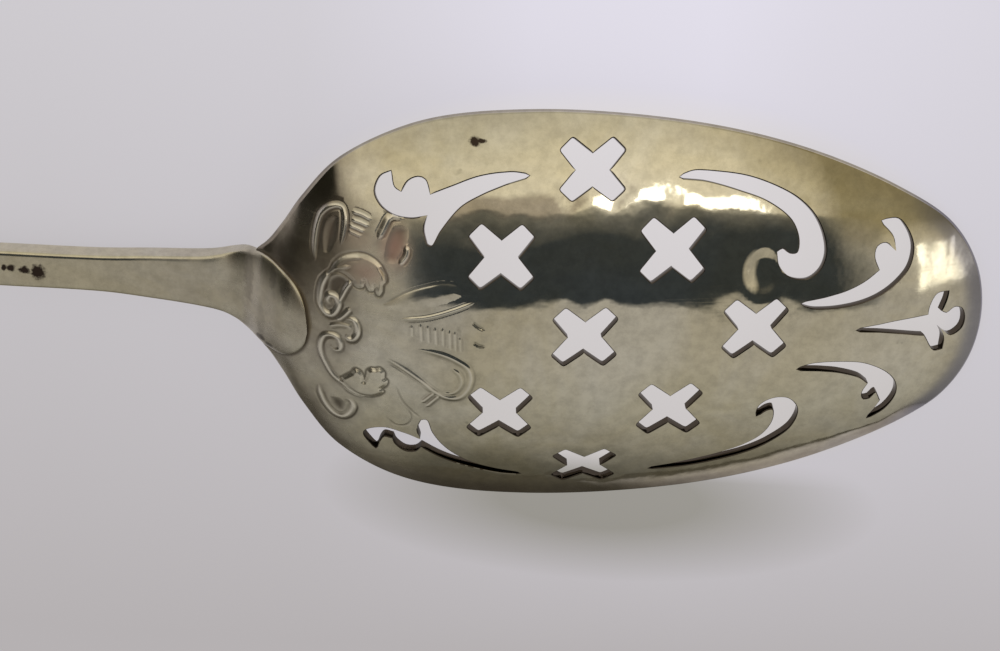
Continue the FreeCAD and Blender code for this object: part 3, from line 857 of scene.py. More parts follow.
# marks kept on the mesh: name, colour and how far it covers. The dark film tone is also painted
# shade along the far side of the bowl's rim, and the near-black tone on the openings' walls is
# painted shade
MARK_TONES = (
    ("blush", (0.62, 0.40, 0.33), 0.75), ("film_and_shade", (0.21, 0.168, 0.132), 0.8),
    ("bloom", (0.25, 0.25, 0.30), 0.8), ("crest", (0.93, 0.88, 0.76), 0.75),
    ("painted_wall_shade", (0.055, 0.042, 0.032), 0.96),
)
STAIN_TONE = (0.05, 0.036, 0.028)
SPOT_TONE = (0.30, 0.28, 0.22)
# roughness of clean metal, and what film, scratches, matt metal and grime add
CLEAN_ROUGHNESS = 0.035
FILM_ROUGHNESS = 0.03
SCRATCH_ROUGHNESS = 0.06
MATT_ROUGHNESS = 0.22
GRIME_ROUGHNESS = 0.30
SCRATCH_DEPTH = 0.002
BUMP_HEIGHT = 0.00005


def new_group(name, inputs, outputs):
    group = bpy.data.node_groups.new(name, "ShaderNodeTree")
    for label, kind, default in inputs:
        sock = group.interface.new_socket(label, in_out="INPUT", socket_type=kind)
        if default is not None:
            sock.default_value = default
    for label, kind in outputs:
        group.interface.new_socket(label, in_out="OUTPUT", socket_type=kind)
    return group


class Wiring:
    """Short hand for adding and joining nodes."""

    def __init__(self, tree):
        self.tree = tree
        self.nodes = tree.nodes

    def add(self, kind, **values):
        node = self.nodes.new(kind)
        for key, value in values.items():
            setattr(node, key, value)
        return node

    def join(self, source, target):
        self.tree.links.new(source, target)

    def noise(self, vector, scale, detail=3.0, roughness=0.5, distortion=0.0):
        node = self.add("ShaderNodeTexNoise")
        node.inputs["Scale"].default_value = scale
        node.inputs["Detail"].default_value = detail
        node.inputs["Roughness"].default_value = roughness
        node.inputs["Distortion"].default_value = distortion
        self.join(vector, node.inputs["Vector"])
        return node.outputs["Fac"]

    def ramp(self, value, *stops):
        node = self.add("ShaderNodeValToRGB")
        ramp = node.color_ramp
        while len(ramp.elements) < len(stops):
            ramp.elements.new(0.5)
        for element, (place, colour) in zip(ramp.elements, stops):
            element.position = place
            element.color = (*colour, 1) if isinstance(colour, tuple) else (colour,) * 3 + (1,)
        self.join(value, node.inputs["Fac"])
        return node.outputs["Color"]

    def maths(self, operation, a, b=None, clamp=False):
        node = self.add("ShaderNodeMath", operation=operation, use_clamp=clamp)
        for i, value in enumerate((a, b)):
            if value is None:
                continue
            if isinstance(value, (int, float)):
                node.inputs[i].default_value = value
            else:
                self.join(value, node.inputs[i])
        return node.outputs[0]

    def line(self, value, slope, start):
        """A straight rise or fall with a value, kept between 0 and 1."""
        node = self.add("ShaderNodeMath", operation="MULTIPLY_ADD", use_clamp=True)
        node.inputs[1].default_value = slope
        node.inputs[2].default_value = start
        self.join(value, node.inputs[0])
        return node.outputs[0]

    def times(self, first, *others):
        for value in others:
            first = self.maths("MULTIPLY", first, value)
        return first

    def attribute(self, name):
        return self.add("ShaderNodeAttribute", attribute_name=name).outputs["Fac"]

    def mix(self, factor, a, b, blend="MIX"):
        node = self.add("ShaderNodeMix", data_type="RGBA", blend_type=blend)
        for name, value in (("Factor", factor), ("A", a), ("B", b)):
            socket = [s for s in node.inputs if s.name == name and s.enabled][0]
            if isinstance(value, (int, float)):
                socket.default_value = value
            elif isinstance(value, tuple):
                socket.default_value = (*value, 1)
            else:
                self.join(value, socket)
        return [s for s in node.outputs if s.enabled][0]


def hand_worn_group():
    """Shallow dents from hammering and use, with fine scratches, as one height."""
    group = new_group(
        "hand_worn",
        [("Vector", "NodeSocketVector", None), ("Dents", "NodeSocketFloat", 1.0),
         ("Scratches", "NodeSocketFloat", 1.0)],
        [("Height", "NodeSocketFloat"), ("Marks", "NodeSocketFloat")],
    )
    w = Wiring(group)
    source = w.add("NodeGroupInput")
    result = w.add("NodeGroupOutput")
    vector = source.outputs["Vector"]
    broad = w.noise(vector, 210.0, 1.0, 0.4)
    small = w.noise(vector, 900.0, 2.0, 0.5)
    dents = w.maths("ADD", w.maths("MULTIPLY", broad, 2.6), w.maths("MULTIPLY", small, 0.16))
    marks = None
    for turn, length, fine in ((0.35, 90.0, 5200.0), (1.25, 140.0, 4300.0), (2.6, 70.0, 6000.0)):
        mapping = w.add("ShaderNodeMapping")
        mapping.inputs["Rotation"].default_value = (0.0, 0.0, turn)
        mapping.inputs["Scale"].default_value = (length, fine, 300.0)
        w.join(vector, mapping.inputs["Vector"])
        lines = w.noise(mapping.outputs["Vector"], 1.0, 2.0, 0.5)
        sharp = w.ramp(lines, (0.62, 0.0), (0.74, 1.0))
        marks = sharp if marks is None else w.maths("MAXIMUM", marks, sharp)
    patches = w.ramp(w.noise(vector, 330.0, 2.0, 0.6), (0.46, 0.0), (0.62, 1.0))
    marks = w.maths("MULTIPLY", marks, patches)
    dents = w.maths("MULTIPLY", dents, source.outputs["Dents"])
    scratches = w.times(marks, source.outputs["Scratches"], SCRATCH_DEPTH)
    w.join(w.maths("SUBTRACT", dents, scratches), result.inputs["Height"])
    w.join(marks, result.inputs["Marks"])
    return group


def tarnish_group():
    """Warm film, grey blooms, and dark grime with painted shade, as a colour and a mask."""
    group = new_group(
        "tarnish",
        [("Vector", "NodeSocketVector", None), ("Grime and shade", "NodeSocketFloat", 0.0),
         ("Metal", "NodeSocketColor", (0.8, 0.77, 0.68, 1)),
         ("Film", "NodeSocketColor", (0.66, 0.6, 0.42, 1)),
         ("Grime and shade colour", "NodeSocketColor", (0.08, 0.07, 0.05, 1))],
        [("Color", "NodeSocketColor"), ("Film", "NodeSocketFloat")],
    )
    w = Wiring(group)
    source = w.add("NodeGroupInput")
    result = w.add("NodeGroupOutput")
    vector = source.outputs["Vector"]
    cloud = w.noise(vector, 150.0, 4.0, 0.6, 0.6)
    speck = w.noise(vector, 1500.0, 5.0, 0.7)
    film = w.ramp(cloud, (0.30, 0.25), (0.62, 1.0))
    colour = w.mix(film, source.outputs["Metal"], source.outputs["Film"])
    mottle = w.ramp(speck, (0.35, 0.86), (0.62, 1.06))
    colour = w.mix(1.0, colour, mottle, "MULTIPLY")
    pits = w.noise(vector, 640.0, 3.0, 0.6)
    spots = w.ramp(pits, (0.70, 0.0), (0.78, 0.75))
    colour = w.mix(spots, colour, SPOT_TONE)
    # dark grime, and painted shade, where the mask lies
    colour = w.mix(source.outputs["Grime and shade"], colour, source.outputs["Grime and shade colour"])
    w.join(colour, result.inputs["Color"])
    w.join(film, result.inputs["Film"])
    return group


def spot_group():
    """One small stain with a ragged edge round a place."""
    group = new_group(
        "spot",
        [("Vector", "NodeSocketVector", None), ("Place", "NodeSocketVector", (0, 0, 0)),
         ("Share", "NodeSocketVector", (1, 1, 1))],
        [("Mask", "NodeSocketFloat")],
    )
    w = Wiring(group)
    source = w.add("NodeGroupInput")
    result = w.add("NodeGroupOutput")
    offset = w.add("ShaderNodeVectorMath", operation="SUBTRACT")
    w.join(source.outputs["Vector"], offset.inputs[0])
    w.join(source.outputs["Place"], offset.inputs[1])
    scaled = w.add("ShaderNodeVectorMath", operation="MULTIPLY")
    w.join(offset.outputs["Vector"], scaled.inputs[0])
    w.join(source.outputs["Share"], scaled.inputs[1])
    away = w.add("ShaderNodeVectorMath", operation="LENGTH")
    w.join(scaled.outputs["Vector"], away.inputs[0])
    ragged = w.maths("MULTIPLY", w.noise(source.outputs["Vector"], 4200.0, 3.0, 0.6), 1.1)
    reach = w.maths("ADD", away.outputs["Value"], ragged)
    w.join(w.ramp(w.maths("MULTIPLY", reach, 0.5), (0.60, 1.0), (0.80, 0.0)), result.inputs["Mask"])
    return group


def add_spots(w, coords, colour):
    """Darken the pits of the rim, the stains of the neck and the worn punches of the stem."""
    spots = [(*pit, float(back_height(*pit[0]))) for pit in PITS]
    spots += [(*punch, float(stem_line(punch[0][0]))) for punch in BLANK_PUNCHES]
    for (x, y), along, across, share, z in spots:
        spot = w.add("ShaderNodeGroup")
        spot.node_tree = bpy.data.node_groups.get("spot") or spot_group()
        spot.inputs["Place"].default_value = (bowl_place() @ Vector((x, y, z))) * MM
        spot.inputs["Share"].default_value = (1 / along / MM, 1 / across / MM, 1 / MM)
        w.join(coords, spot.inputs["Vector"])
        colour = w.mix(w.times(spot.outputs["Mask"], share), colour, STAIN_TONE)
    return colour


def make_silver(name, dents, metal, film):
    material = bpy.data.materials.new(name)
    material.use_nodes = True
    w = Wiring(material.node_tree)
    shader = material.node_tree.nodes["Principled BSDF"]
    shader.inputs["Metallic"].default_value = 1.0
    coords = w.add("ShaderNodeTexCoord").outputs["Object"]
    # mask of grime and of painted shade, kept on the mesh
    grime_and_shade = w.attribute("grime_and_shade")
    worn = w.add("ShaderNodeGroup")
    worn.node_tree = bpy.data.node_groups.get("hand_worn") or hand_worn_group()
    worn.inputs["Dents"].default_value = dents
    w.join(coords, worn.inputs["Vector"])
    tarnish = w.add("ShaderNodeGroup")
    tarnish.node_tree = bpy.data.node_groups.get("tarnish") or tarnish_group()
    tarnish.inputs["Metal"].default_value = (*metal, 1)
    tarnish.inputs["Film"].default_value = (*film, 1)
    w.join(coords, tarnish.inputs["Vector"])
    w.join(grime_and_shade, tarnish.inputs["Grime and shade"])
    colour = tarnish.outputs["Color"]
    for mark_name, tone, share in MARK_TONES:
        mask = w.attribute(mark_name)
        if mark_name == "film_and_shade":
            patchy = w.ramp(w.noise(coords, 420.0, 4.0, 0.65), (0.35, 0.60), (0.60, 1.0))
            mask = w.times(mask, patchy)
        colour = w.mix(w.times(mask, share), colour, tone)
    colour = add_spots(w, coords, colour)
    w.join(colour, shader.inputs["Base Color"])
    rough = w.line(tarnish.outputs["Film"], FILM_ROUGHNESS, CLEAN_ROUGHNESS)
    for layer, share in (
            (worn.outputs["Marks"], SCRATCH_ROUGHNESS), (w.attribute("matt"), MATT_ROUGHNESS),
            (grime_and_shade, GRIME_ROUGHNESS)):
        rough = w.maths("ADD", rough, w.times(layer, share), clamp=True)
    w.join(rough, shader.inputs["Roughness"])
    bump = w.add("ShaderNodeBump")
    bump.inputs["Strength"].default_value = 1.0
    bump.inputs["Distance"].default_value = BUMP_HEIGHT
    w.join(worn.outputs["Height"], bump.inputs["Height"])
    w.join(bump.outputs["Normal"], shader.inputs["Normal"])
    return material


def silver():
    found = bpy.data.materials.get("old_silver")
    if found:
        return found
    s = sizes()
    return make_silver("old_silver", s.dents, tuple(s.metal_colour), tuple(s.film_colour))


def finish_piece(obj, name, sharp=math.radians(34)):
    obj.name = name
    obj.data.name = name
    obj.data.materials.clear()
    obj.data.materials.append(silver())
    choose(obj)
    bpy.ops.object.shade_smooth_by_angle(angle=sharp)
    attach(obj, "root")
    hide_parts(NODE)


# Sizes and colours that a user would change

class MoteSpoonSizes(bpy.types.PropertyGroup):
    bowl_length: FloatProperty(
        name="Bowl length", description="From the heel to the tip of the rim",
        default=0.038, min=0.02, max=0.08, unit="LENGTH", precision=4)
    bowl_width: FloatProperty(
        name="Bowl width", description="Across the widest part of the rim",
        default=0.0228, min=0.01, max=0.05, unit="LENGTH", precision=4)
    bowl_depth: FloatProperty(
        name="Bowl depth", description="From the plane of the rim to the top of the back",
        default=0.00385, min=0.001, max=0.01, unit="LENGTH", precision=5)
    sheet: FloatProperty(
        name="Sheet", description="Thickness of the metal of the bowl",
        default=0.00044, min=0.0003, max=0.001, unit="LENGTH", precision=5)
    edge_ease: FloatProperty(
        name="Edge easing", description="How far the edges of the openings are worn back",
        default=0.00006, min=0.00001, max=0.0002, unit="LENGTH", precision=6)
    stem_length: FloatProperty(
        name="Stem length", description="From the heel of the bowl to the point of the finial",
        default=0.102, min=0.05, max=0.15, unit="LENGTH", precision=4)
    stem_thickness: FloatProperty(
        name="Stem thickness", description="Height of the stem's section near the bowl",
        default=0.00125, min=0.0006, max=0.003, unit="LENGTH", precision=5)
    finial_length: FloatProperty(
        name="Finial length", description="Length of the spear at the stem's end",
        default=0.0095, min=0.004, max=0.02, unit="LENGTH", precision=4)
    finial_width: FloatProperty(
        name="Finial width", description="Width of the spear at its shoulder",
        default=0.0034, min=0.001, max=0.008, unit="LENGTH", precision=5)
    finial_thickness: FloatProperty(
        name="Finial thickness", description="Height of the spear at its shoulder",
        default=0.0019, min=0.001, max=0.005, unit="LENGTH", precision=5)
    dents: FloatProperty(
        name="Dents", description="Depth of the shallow dents that make reflections waver",
        default=1.0, min=0.0, max=4.0)
    metal_colour: FloatVectorProperty(
        name="Metal colour", description="Silver where it has been rubbed clean",
        default=(0.80, 0.77, 0.68), min=0.0, max=1.0, subtype="COLOR")
    film_colour: FloatVectorProperty(
        name="Film colour", description="Warm tarnish that covers most of the spoon",
        default=(0.70, 0.64, 0.47), min=0.0, max=1.0, subtype="COLOR")
    floor_colour: FloatVectorProperty(
        name="Floor colour", description="Pale table that the spoon lies on",
        default=(0.64, 0.62, 0.65), min=0.0, max=1.0, subtype="COLOR")


# Pieces

class MESH_OT_mote_spoon_bowl(bpy.types.Operator):
    """Model the pierced and chased bowl"""
    bl_idname = "mesh.mote_spoon_bowl"
    bl_label = "Bowl"
    bl_options = {"REGISTER", "UNDO"}

    spacing: FloatProperty(
        name="Spacing", description="Distance between the points of the sheet, in mm",
        default=0.2, min=0.1, max=1.0)

    def execute(self, context):
        s = sizes()
        start = GRID_START
        end = s.bowl_length / MM + GRID_PAST_TIP
        across = s.bowl_width / MM + GRID_PAST_SIDES
        bowl, co = spread_grid(
            int((end - start) / self.spacing), int(across / self.spacing), start, end, across)
        co[:, 2] = back_height(co[:, 0], co[:, 1])
        set_points(bowl, co)

        # the sheet gets its thickness by extruding the skin inwards
        edit_whole(bowl)
        extrude(0, 0, -s.sheet / MM)
        bpy.ops.object.mode_set(mode="OBJECT")
        co = points_of(bowl)
        moved = np.array([v.select for v in bowl.data.vertices])
        co[moved, 2] = front_height(co[moved, 0], co[moved, 1])
        set_points(bowl, co)
        edit_whole(bowl)
        face_outwards()

        self.loops = [cross_outline(x, y, steep, 0.14) for x, y, steep in CROSSES]
        self.loops += [blunted(closed_outline(stretches, 0.16)) for stretches in SCROLLS]
        self.trim_rim(bowl)
        self.pierce(bowl)
        self.chase(bowl)
        lay_down(bowl)
        finish_piece(bowl, "pierced_bowl")
        settle_skins(bowl, ((worn_back, 1), (front_height, -1)))
        return {"FINISHED"}

    def trim_rim(self, bowl):
        """Cut the sheet to the outline of the rim, then flat under it."""
        loop = rim_outline(0.25)
        out = outward(loop)
        rings = [on_back(loop - out * inset, depth) for depth, inset in RIM_ROUNDING]
        bottom = np.column_stack([loop, np.full(len(loop), TOOL_BOTTOM)])
        inner = loop - out * RIM_ROUNDING[-1][1]
        top = np.column_stack([inner, np.full(len(loop), TOOL_TOP)])
        apply_boolean(bowl, ring_tool("rim_tool", [bottom, *rings, top]), "INTERSECT")

        s = sizes()
        under, co = spread_grid(
            60, 2, -UNDER_MARGIN, s.bowl_length / MM + UNDER_MARGIN, 1.5 * s.bowl_width / MM)
        co[:, 2] = rim_height(co[:, 0])
        set_points(under, co)
        edit_whole(under)
        extrude(0, 0, -UNDER_DEPTH)
        face_outwards()
        apply_boolean(bowl, under, "DIFFERENCE")

    def pierce(self, bowl):
        tools = [punch_tool(f"punch_{i}", loop) for i, loop in enumerate(self.loops)]
        apply_boolean(bowl, join_all(tools), "DIFFERENCE")

    def chase(self, bowl):
        """Raise the scrollwork at the heel, sink what is worn, and mark the finish with its grime
        and painted shade.
        """
        self.divide(bowl)
        co = points_of(bowl)
        top = back_height(co[:, 0], co[:, 1])
        off = np.abs(co[:, 2] - top)
        skin = off < RAISED_GAP
        co[:, 2] = np.where(off < SKIN_GAP, top, co[:, 2])
        lift, chased_grime_and_shade, crest = chased(co[skin, :2])
        co[skin, 2] += lift
        co[:, 2] -= worn_down(co[:, 0], co[:, 1])
        set_points(bowl, co)
        self.mark_wall_shade(bowl)
        self.mark_finish(bowl, co, skin, chased_grime_and_shade, crest)

    def divide(self, bowl):
        """Divide the back finely where it is chased, and along the stem's tongue."""
        x0, x1, y0, y1 = CHASED_BOX
        lines = [smooth_line(line, 0.2) for line, _, _ in RIDGES + GROOVES]
        lines += [closed_outline(stretches, 0.2) for stretches, _, _ in SWELLS[:2] + HOLLOWS]
        worked = np.concatenate(lines + [self.tongue_edge()])
        choose(bowl)
        bpy.ops.object.mode_set(mode="EDIT")
        bpy.ops.mesh.select_mode(type="FACE")
        bpy.ops.mesh.select_all(action="DESELECT")
        bm = bmesh.from_edit_mesh(bowl.data)
        for face in bm.faces:
            c = face.calc_center_median()
            here = x0 < c.x < x1 and y0 < c.y < y1 and len(face.verts) == 4
            if not here or face.normal.z < 0.3:
                continue
            if abs(c.z - float(back_height(c.x, c.y))) < 0.05:
                gap = np.abs(worked - np.array((c.x, c.y))).max(axis=1).min()
                face.select = bool(gap < CHASED_REACH)
        bmesh.update_edit_mesh(bowl.data)
        bpy.ops.mesh.subdivide(number_cuts=CHASED_CUTS)
        bpy.ops.object.mode_set(mode="OBJECT")

    def mark_finish(self, bowl, co, skin, chased_grime_and_shade, crest):
        """Mark where grime, painted shade, film, bloom and matt metal lie, and how thickly."""
        x, y = co[:, 0], co[:, 1]
        plan = co[:, :2]
        d = distance_round(plan, rim_outline(0.4))
        # grime and painted shadow of the chased work, and painted shadow along the tongue's edge
        shaded_and_grimy = np.zeros(len(co))
        shaded_and_grimy[skin] = np.maximum(chased_grime_and_shade, self.tongue_shade(plan[skin]))
        rubbed = np.zeros(len(co))
        rubbed[skin] = crest
        # painted shade along the far side of the rim; film all round the rim, thicker on the far
        # side, where its darkest tone at the edge is painted shade
        low_side = step(4.0, 8.0, -y) * step(22.0, 18.0, x) * step(5.5, 8.0, x)
        shaded_and_grimy = np.maximum(shaded_and_grimy, 0.30 * bell(d, 1.0, 6) * low_side)
        film = bell(d, 1.3) * (0.34 + 0.66 * step(4.0, 9.5, -y) * bell(x - 11, 7))
        film = np.maximum(film, 0.85 * bell(d, 0.85, 4) * step(2.0, 6.0, -y))
        film = np.maximum(film, stain(plan, CLOUDS))
        film = np.maximum(film, step(6.2, 3.0, x) * (0.50 + 0.45 * step(-4.0, 3.0, y)))
        bloom = bell(d, 0.95, 4) * step(32.5, 35.5, x)
        matt = step(9.8, 6.5, x) * (0.25 + 0.75 * step(7.5, 4.5, y))
        matt = np.maximum(matt, 0.25 * step(33.0, 35.0, x))
        for name, values in (
                ("grime_and_shade", shaded_and_grimy), ("blush", stain(plan, BLUSH) * skin), ("crest", rubbed),
                ("film_and_shade", film), ("bloom", bloom), ("matt", matt)):
            mark(bowl, name, values)

    def mark_wall_shade(self, bowl):
        """Paint shade on the faces of the openings' walls and eased edges, and less on the rim's
        rounded edge.
        """
        count = len(bowl.data.polygons)
        centre = np.empty(count * 3)
        normal = np.empty(count * 3)
        bowl.data.polygons.foreach_get("center", centre)
        bowl.data.polygons.foreach_get("normal", normal)
        centre = centre.reshape(-1, 3)
        normal = normal.reshape(-1, 3)
        skin = worn_back(centre[:, 0], centre[:, 1])
        square = np.abs(np.einsum("ij,ij->i", normal, back_normal(centre[:, 0], centre[:, 1])))
        side = (square < 0.985) & (skin - centre[:, 2] > 0.003)
        d = distance_round(centre[:, :2], rim_outline(0.4))
        painted_wall_shade = np.where(side & (square < 0.93) & (d < 0.3), 0.35, 0.0)
        for loop in self.loops:
            near = side & (np.abs(centre[:, :2] - loop.mean(axis=0)) < 6).all(axis=1)
            gap = distance_round(centre[near, :2], loop)
            steep = (square[near] < 0.93) & (gap < 0.45)
            # eased edge faces get a lighter painted shade
            worn = 0.6 * (gap < 0.12)
            painted_wall_shade[near] = np.maximum(painted_wall_shade[near], np.where(steep, 1.0, worn))
        mark(bowl, "painted_wall_shade", painted_wall_shade, "FACE")

    def tongue_edge(self):
        edge = [(t[0], t[1]) for t in TONGUE] + [(t[0], -t[2]) for t in reversed(TONGUE)]
        return smooth_line(edge, 0.15)

    def tongue_shade(self, plan):
        """Painted shadow on the bowl along the edge of the stem's tongue."""
        d, _ = distance_to(plan, self.tongue_edge())
        return 0.8 * bell(np.maximum(d - 0.05, 0), 0.12)


def stem_line(x):
    """Height of the stem's flat back."""
    root = -0.033 * sizes().bowl_length / MM
    root_height = float(back_height(root, STEM_WIDTH_AT_HEEL / 2)) + TONGUE_HEIGHT - 0.03
    table = NECK_BACK + ((root / NECK_LENGTH, root_height / NECK_FALL),)
    near = NECK_FALL * value_at(table, np.asarray(x, dtype=float) / NECK_LENGTH)
    s = sizes()
    end = -(s.stem_length - s.finial_length * 0.75) / MM
    end_top = -STEM_FALL + s.finial_thickness / MM / 2 + STEM_WIDTH_AT_FINIAL / 2
    share = (np.asarray(x, dtype=float) + NECK_LENGTH) / (end + NECK_LENGTH)
    far = -NECK_FALL + share * (end_top + NECK_FALL)
    return np.where(share > 0, far, near)


class MESH_OT_mote_spoon_stem(bpy.types.Operator):
    """Model the stem, drawn out of its tongue on the back of the bowl"""
    bl_idname = "mesh.mote_spoon_stem"
    bl_label = "Stem"
    bl_options = {"REGISTER", "UNDO"}

    ring: IntProperty(
        name="Ring", description="Points round the stem's section", default=72, min=16, max=96)

    def section(self, x):
        """Points round the section at x, in mm."""
        s = sizes()
        n = self.ring
        turn = 2 * math.pi * (np.arange(n) + 0.5) / n
        end = -(s.stem_length - s.finial_length * 0.75) / MM
        along = min(max((x + NECK_LENGTH) / (end + NECK_LENGTH), 0.0), 1.0)
        if x > -1.3:
            near = float(value_at(tuple((t[0], t[1]) for t in TONGUE), x))
            far = float(value_at(tuple((t[0], t[2]) for t in TONGUE), x))
        elif along > 0:
            near = far = (
                STEM_WIDTH_NEAR_BOWL * (1 - along) + STEM_WIDTH_AT_FINIAL * along) / 2
        else:
            flare = STEM_WIDTH_AT_HEEL - STEM_WIDTH_NEAR_BOWL
            share = min(float(value_at(NECK_FLARE, x / NECK_LENGTH)), 1.0)
            near = far = (STEM_WIDTH_NEAR_BOWL + flare * share) / 2
        on_tongue = float(step(-1.6, 0.4, x))
        power = STEM_SQUARENESS - STEM_ROUNDING * along - TONGUE_ROUNDING * on_tongue
        u = np.sign(np.cos(turn)) * np.abs(np.cos(turn)) ** (2 / power)
        v = np.sign(np.sin(turn)) * np.abs(np.sin(turn)) ** (2 / power)
        y = (near - far) / 2 + u * (near + far) / 2
        thick = s.stem_thickness / MM * (1 - along) + STEM_WIDTH_AT_FINIAL * along
        flat_top = stem_line(x)
        curve = back_height(max(x, TONGUE_ROOT), y)
        blend = step(TONGUE_ROOT, -0.2, x)
        top = flat_top * (1 - blend) + (curve + TONGUE_HEIGHT) * blend
        sunk = curve - TONGUE_SUNK
        low_blend = step(-2.6, 0.4, x)
        low = (flat_top - thick) * (1 - low_blend) + sunk * low_blend
        z = low + (top - low) * (v + 1) / 2
        return np.column_stack([np.full(n, x), y, z])

    def execute(self, context):
        s = sizes()
        end = -(s.stem_length - s.finial_length * 0.75) / MM
        stations = [2.335 * math.sin(math.pi / 2 * i / 14) for i in range(14, 0, -1)]
        for start, spacing, count in STEM_RUNS:
            stations += [start + spacing * i for i in range(count)]
        stations += [float(v) for v in np.linspace(-14.9, end, 40)]
        start_fresh()
        bpy.ops.mesh.primitive_circle_add(
            vertices=self.ring, radius=1, fill_type="NGON", location=(0, 0, 0))
        stem = context.object
        draw_out(stem, [self.section(x) for x in stations])
        co = points_of(stem)
        worn = stain(co[:, :2], BLANK_PUNCHES)
        top = co[:, 2] > stem_line(co[:, 0]) - 0.3
        co[:, 2] -= PUNCH_DEPTH * worn * top
        set_points(stem, co)
        mark(stem, "grime_and_shade", 0.5 * step(0.35, 0.75, worn) * top)
        mark(stem, "film_and_shade", 0.12 + 0.26 * step(-11.0, -1.0, co[:, 0]))
        mark(stem, "matt", 0.25 + 0.75 * step(-8.0, -2.5, co[:, 0]))
        lay_down(stem)
        finish_piece(stem, "stem", math.radians(50))
        return {"FINISHED"}


class MESH_OT_mote_spoon_finial(bpy.types.Operator):
    """Model the four-sided spear at the end of the stem"""
    bl_idname = "mesh.mote_spoon_finial"
    bl_label = "Finial"
    bl_options = {"REGISTER", "UNDO"}

    def execute(self, context):
        s = sizes()
        length = s.finial_length / MM
        tail = -s.stem_length / MM
        root = tail + length
        z = -STEM_FALL + s.finial_thickness / MM / 2
        neck = STEM_WIDTH_AT_FINIAL * 1.25
        shoulder = root - length * 0.22
        stations = (
            (root, neck, neck),
            (shoulder, s.finial_width / MM, s.finial_thickness / MM),
            (tail, FINIAL_TIP, FINIAL_TIP),
        )
        start_fresh()
        bpy.ops.mesh.primitive_circle_add(
            vertices=4, radius=1, fill_type="NGON", location=(0, 0, 0))
        spear = context.object

        rings = [
            np.array((
                (x, width / 2, z), (x, 0, z + thick / 2), (x, -width / 2, z), (x, 0, z - thick / 2)))
            for x, width, thick in stations]
        draw_out(spear, rings)
        edit_whole(spear)
        bpy.ops.mesh.select_mode(type="EDGE")
        bpy.ops.mesh.select_all(action="SELECT")
        bpy.ops.mesh.bevel(offset=FINIAL_BEVEL, segments=3, affect="EDGES", clamp_overlap=True)
        bpy.ops.object.mode_set(mode="OBJECT")
        lay_down(spear)
        finish_piece(spear, "finial", math.radians(25))
        return {"FINISHED"}


# Stage

# Camera: its turn in degrees, how far off and aside it is in mm, and how large it sees
CAMERA_TURN = (-28.2, -1.68, 1.56)
CAMERA_TARGET = 19.0
CAMERA_DISTANCE = 170.0
CAMERA_ASIDE = (6.525, 0.965)
CAMERA_PIXELS_PER_MM = 18.93
CAMERA_SENSOR = 36.0
PHOTO_WIDTH = 1000

# Lamps: name, way to it in the bowl's frame, length, width and power
LAMPS = (
    ("window", (0.255, 0.285, 0.924), 0.115, 0.065, 0.051),
    ("tip_window", (0.722, -0.100, 0.685), 0.046, 0.250, 0.057),
)
LAMP_COLOUR = (1.0, 0.97, 0.88)
LAMP_DISTANCE = 0.8
LAMP_TARGET = (0.05, 0, 0)

# Table: tones that its own colour is multiplied by, and ovals of painted light and painted shade as
# (middle, reach, tone)
FLOOR_SIZE = 6.0
FLOOR_GAP = 0.00002
FRONT_TONE = (0.73, 0.715, 0.69)
RIGHT_TONE = (1.25, 1.25, 1.35)
RIGHT_STOPS = (
    (0.20, 0.05), (0.34, 0.20), (0.46, 0.82), (0.555, 0.92), (0.61, 0.70), (0.70, 0.50),
)
PAINTED_LIGHT_UNDER_BOWL = ((0.0508, 0.0), (0.019, 0.0112), (1.06, 1.05, 0.98))
PAINTED_SHADE_BEFORE_BOWL = ((0.0505, -0.0130), (0.0155, 0.0054), (0.58, 0.58, 0.50))
MIRRORED_SHADE = (0.085, 0.078, 0.062)

# Room that the metal mirrors, from the front (0) over the bowl (0.5) to the back (1)
ROOM = (
    (0.00, (0.10, 0.095, 0.08)), (0.03, (0.27, 0.26, 0.235)),
    (0.09, (0.38, 0.37, 0.345)), (0.20, (0.43, 0.415, 0.395)),
    (0.38, (0.40, 0.38, 0.35)), (0.56, (0.62, 0.57, 0.47)),
    (0.64, (0.84, 0.78, 0.66)), (0.75, (0.78, 0.72, 0.58)),
    (0.86, (0.72, 0.68, 0.57)), (1.00, (0.55, 0.53, 0.46)),
)
PAST_TIP = (0.345, 0.300, 0.190)
PAST_HEEL = ((0.04, (0.024, 0.023, 0.016)), (0.14, (0.105, 0.087, 0.068)))
GREY_CARD = (0.37, 0.32, 0.27)
CARD_RAISE = 0.011
DARK_STRETCH = (0.026, 0.034, 0.042)
DARK_END = ((0.535, 0.97), (0.585, 0.85), (0.602, 0.78), (0.614, 0.5), (0.622, 0.0))
PLAIN_ROOM = (0.95, 0.94, 0.96)
BACKDROP = (0.80, 0.79, 0.84)


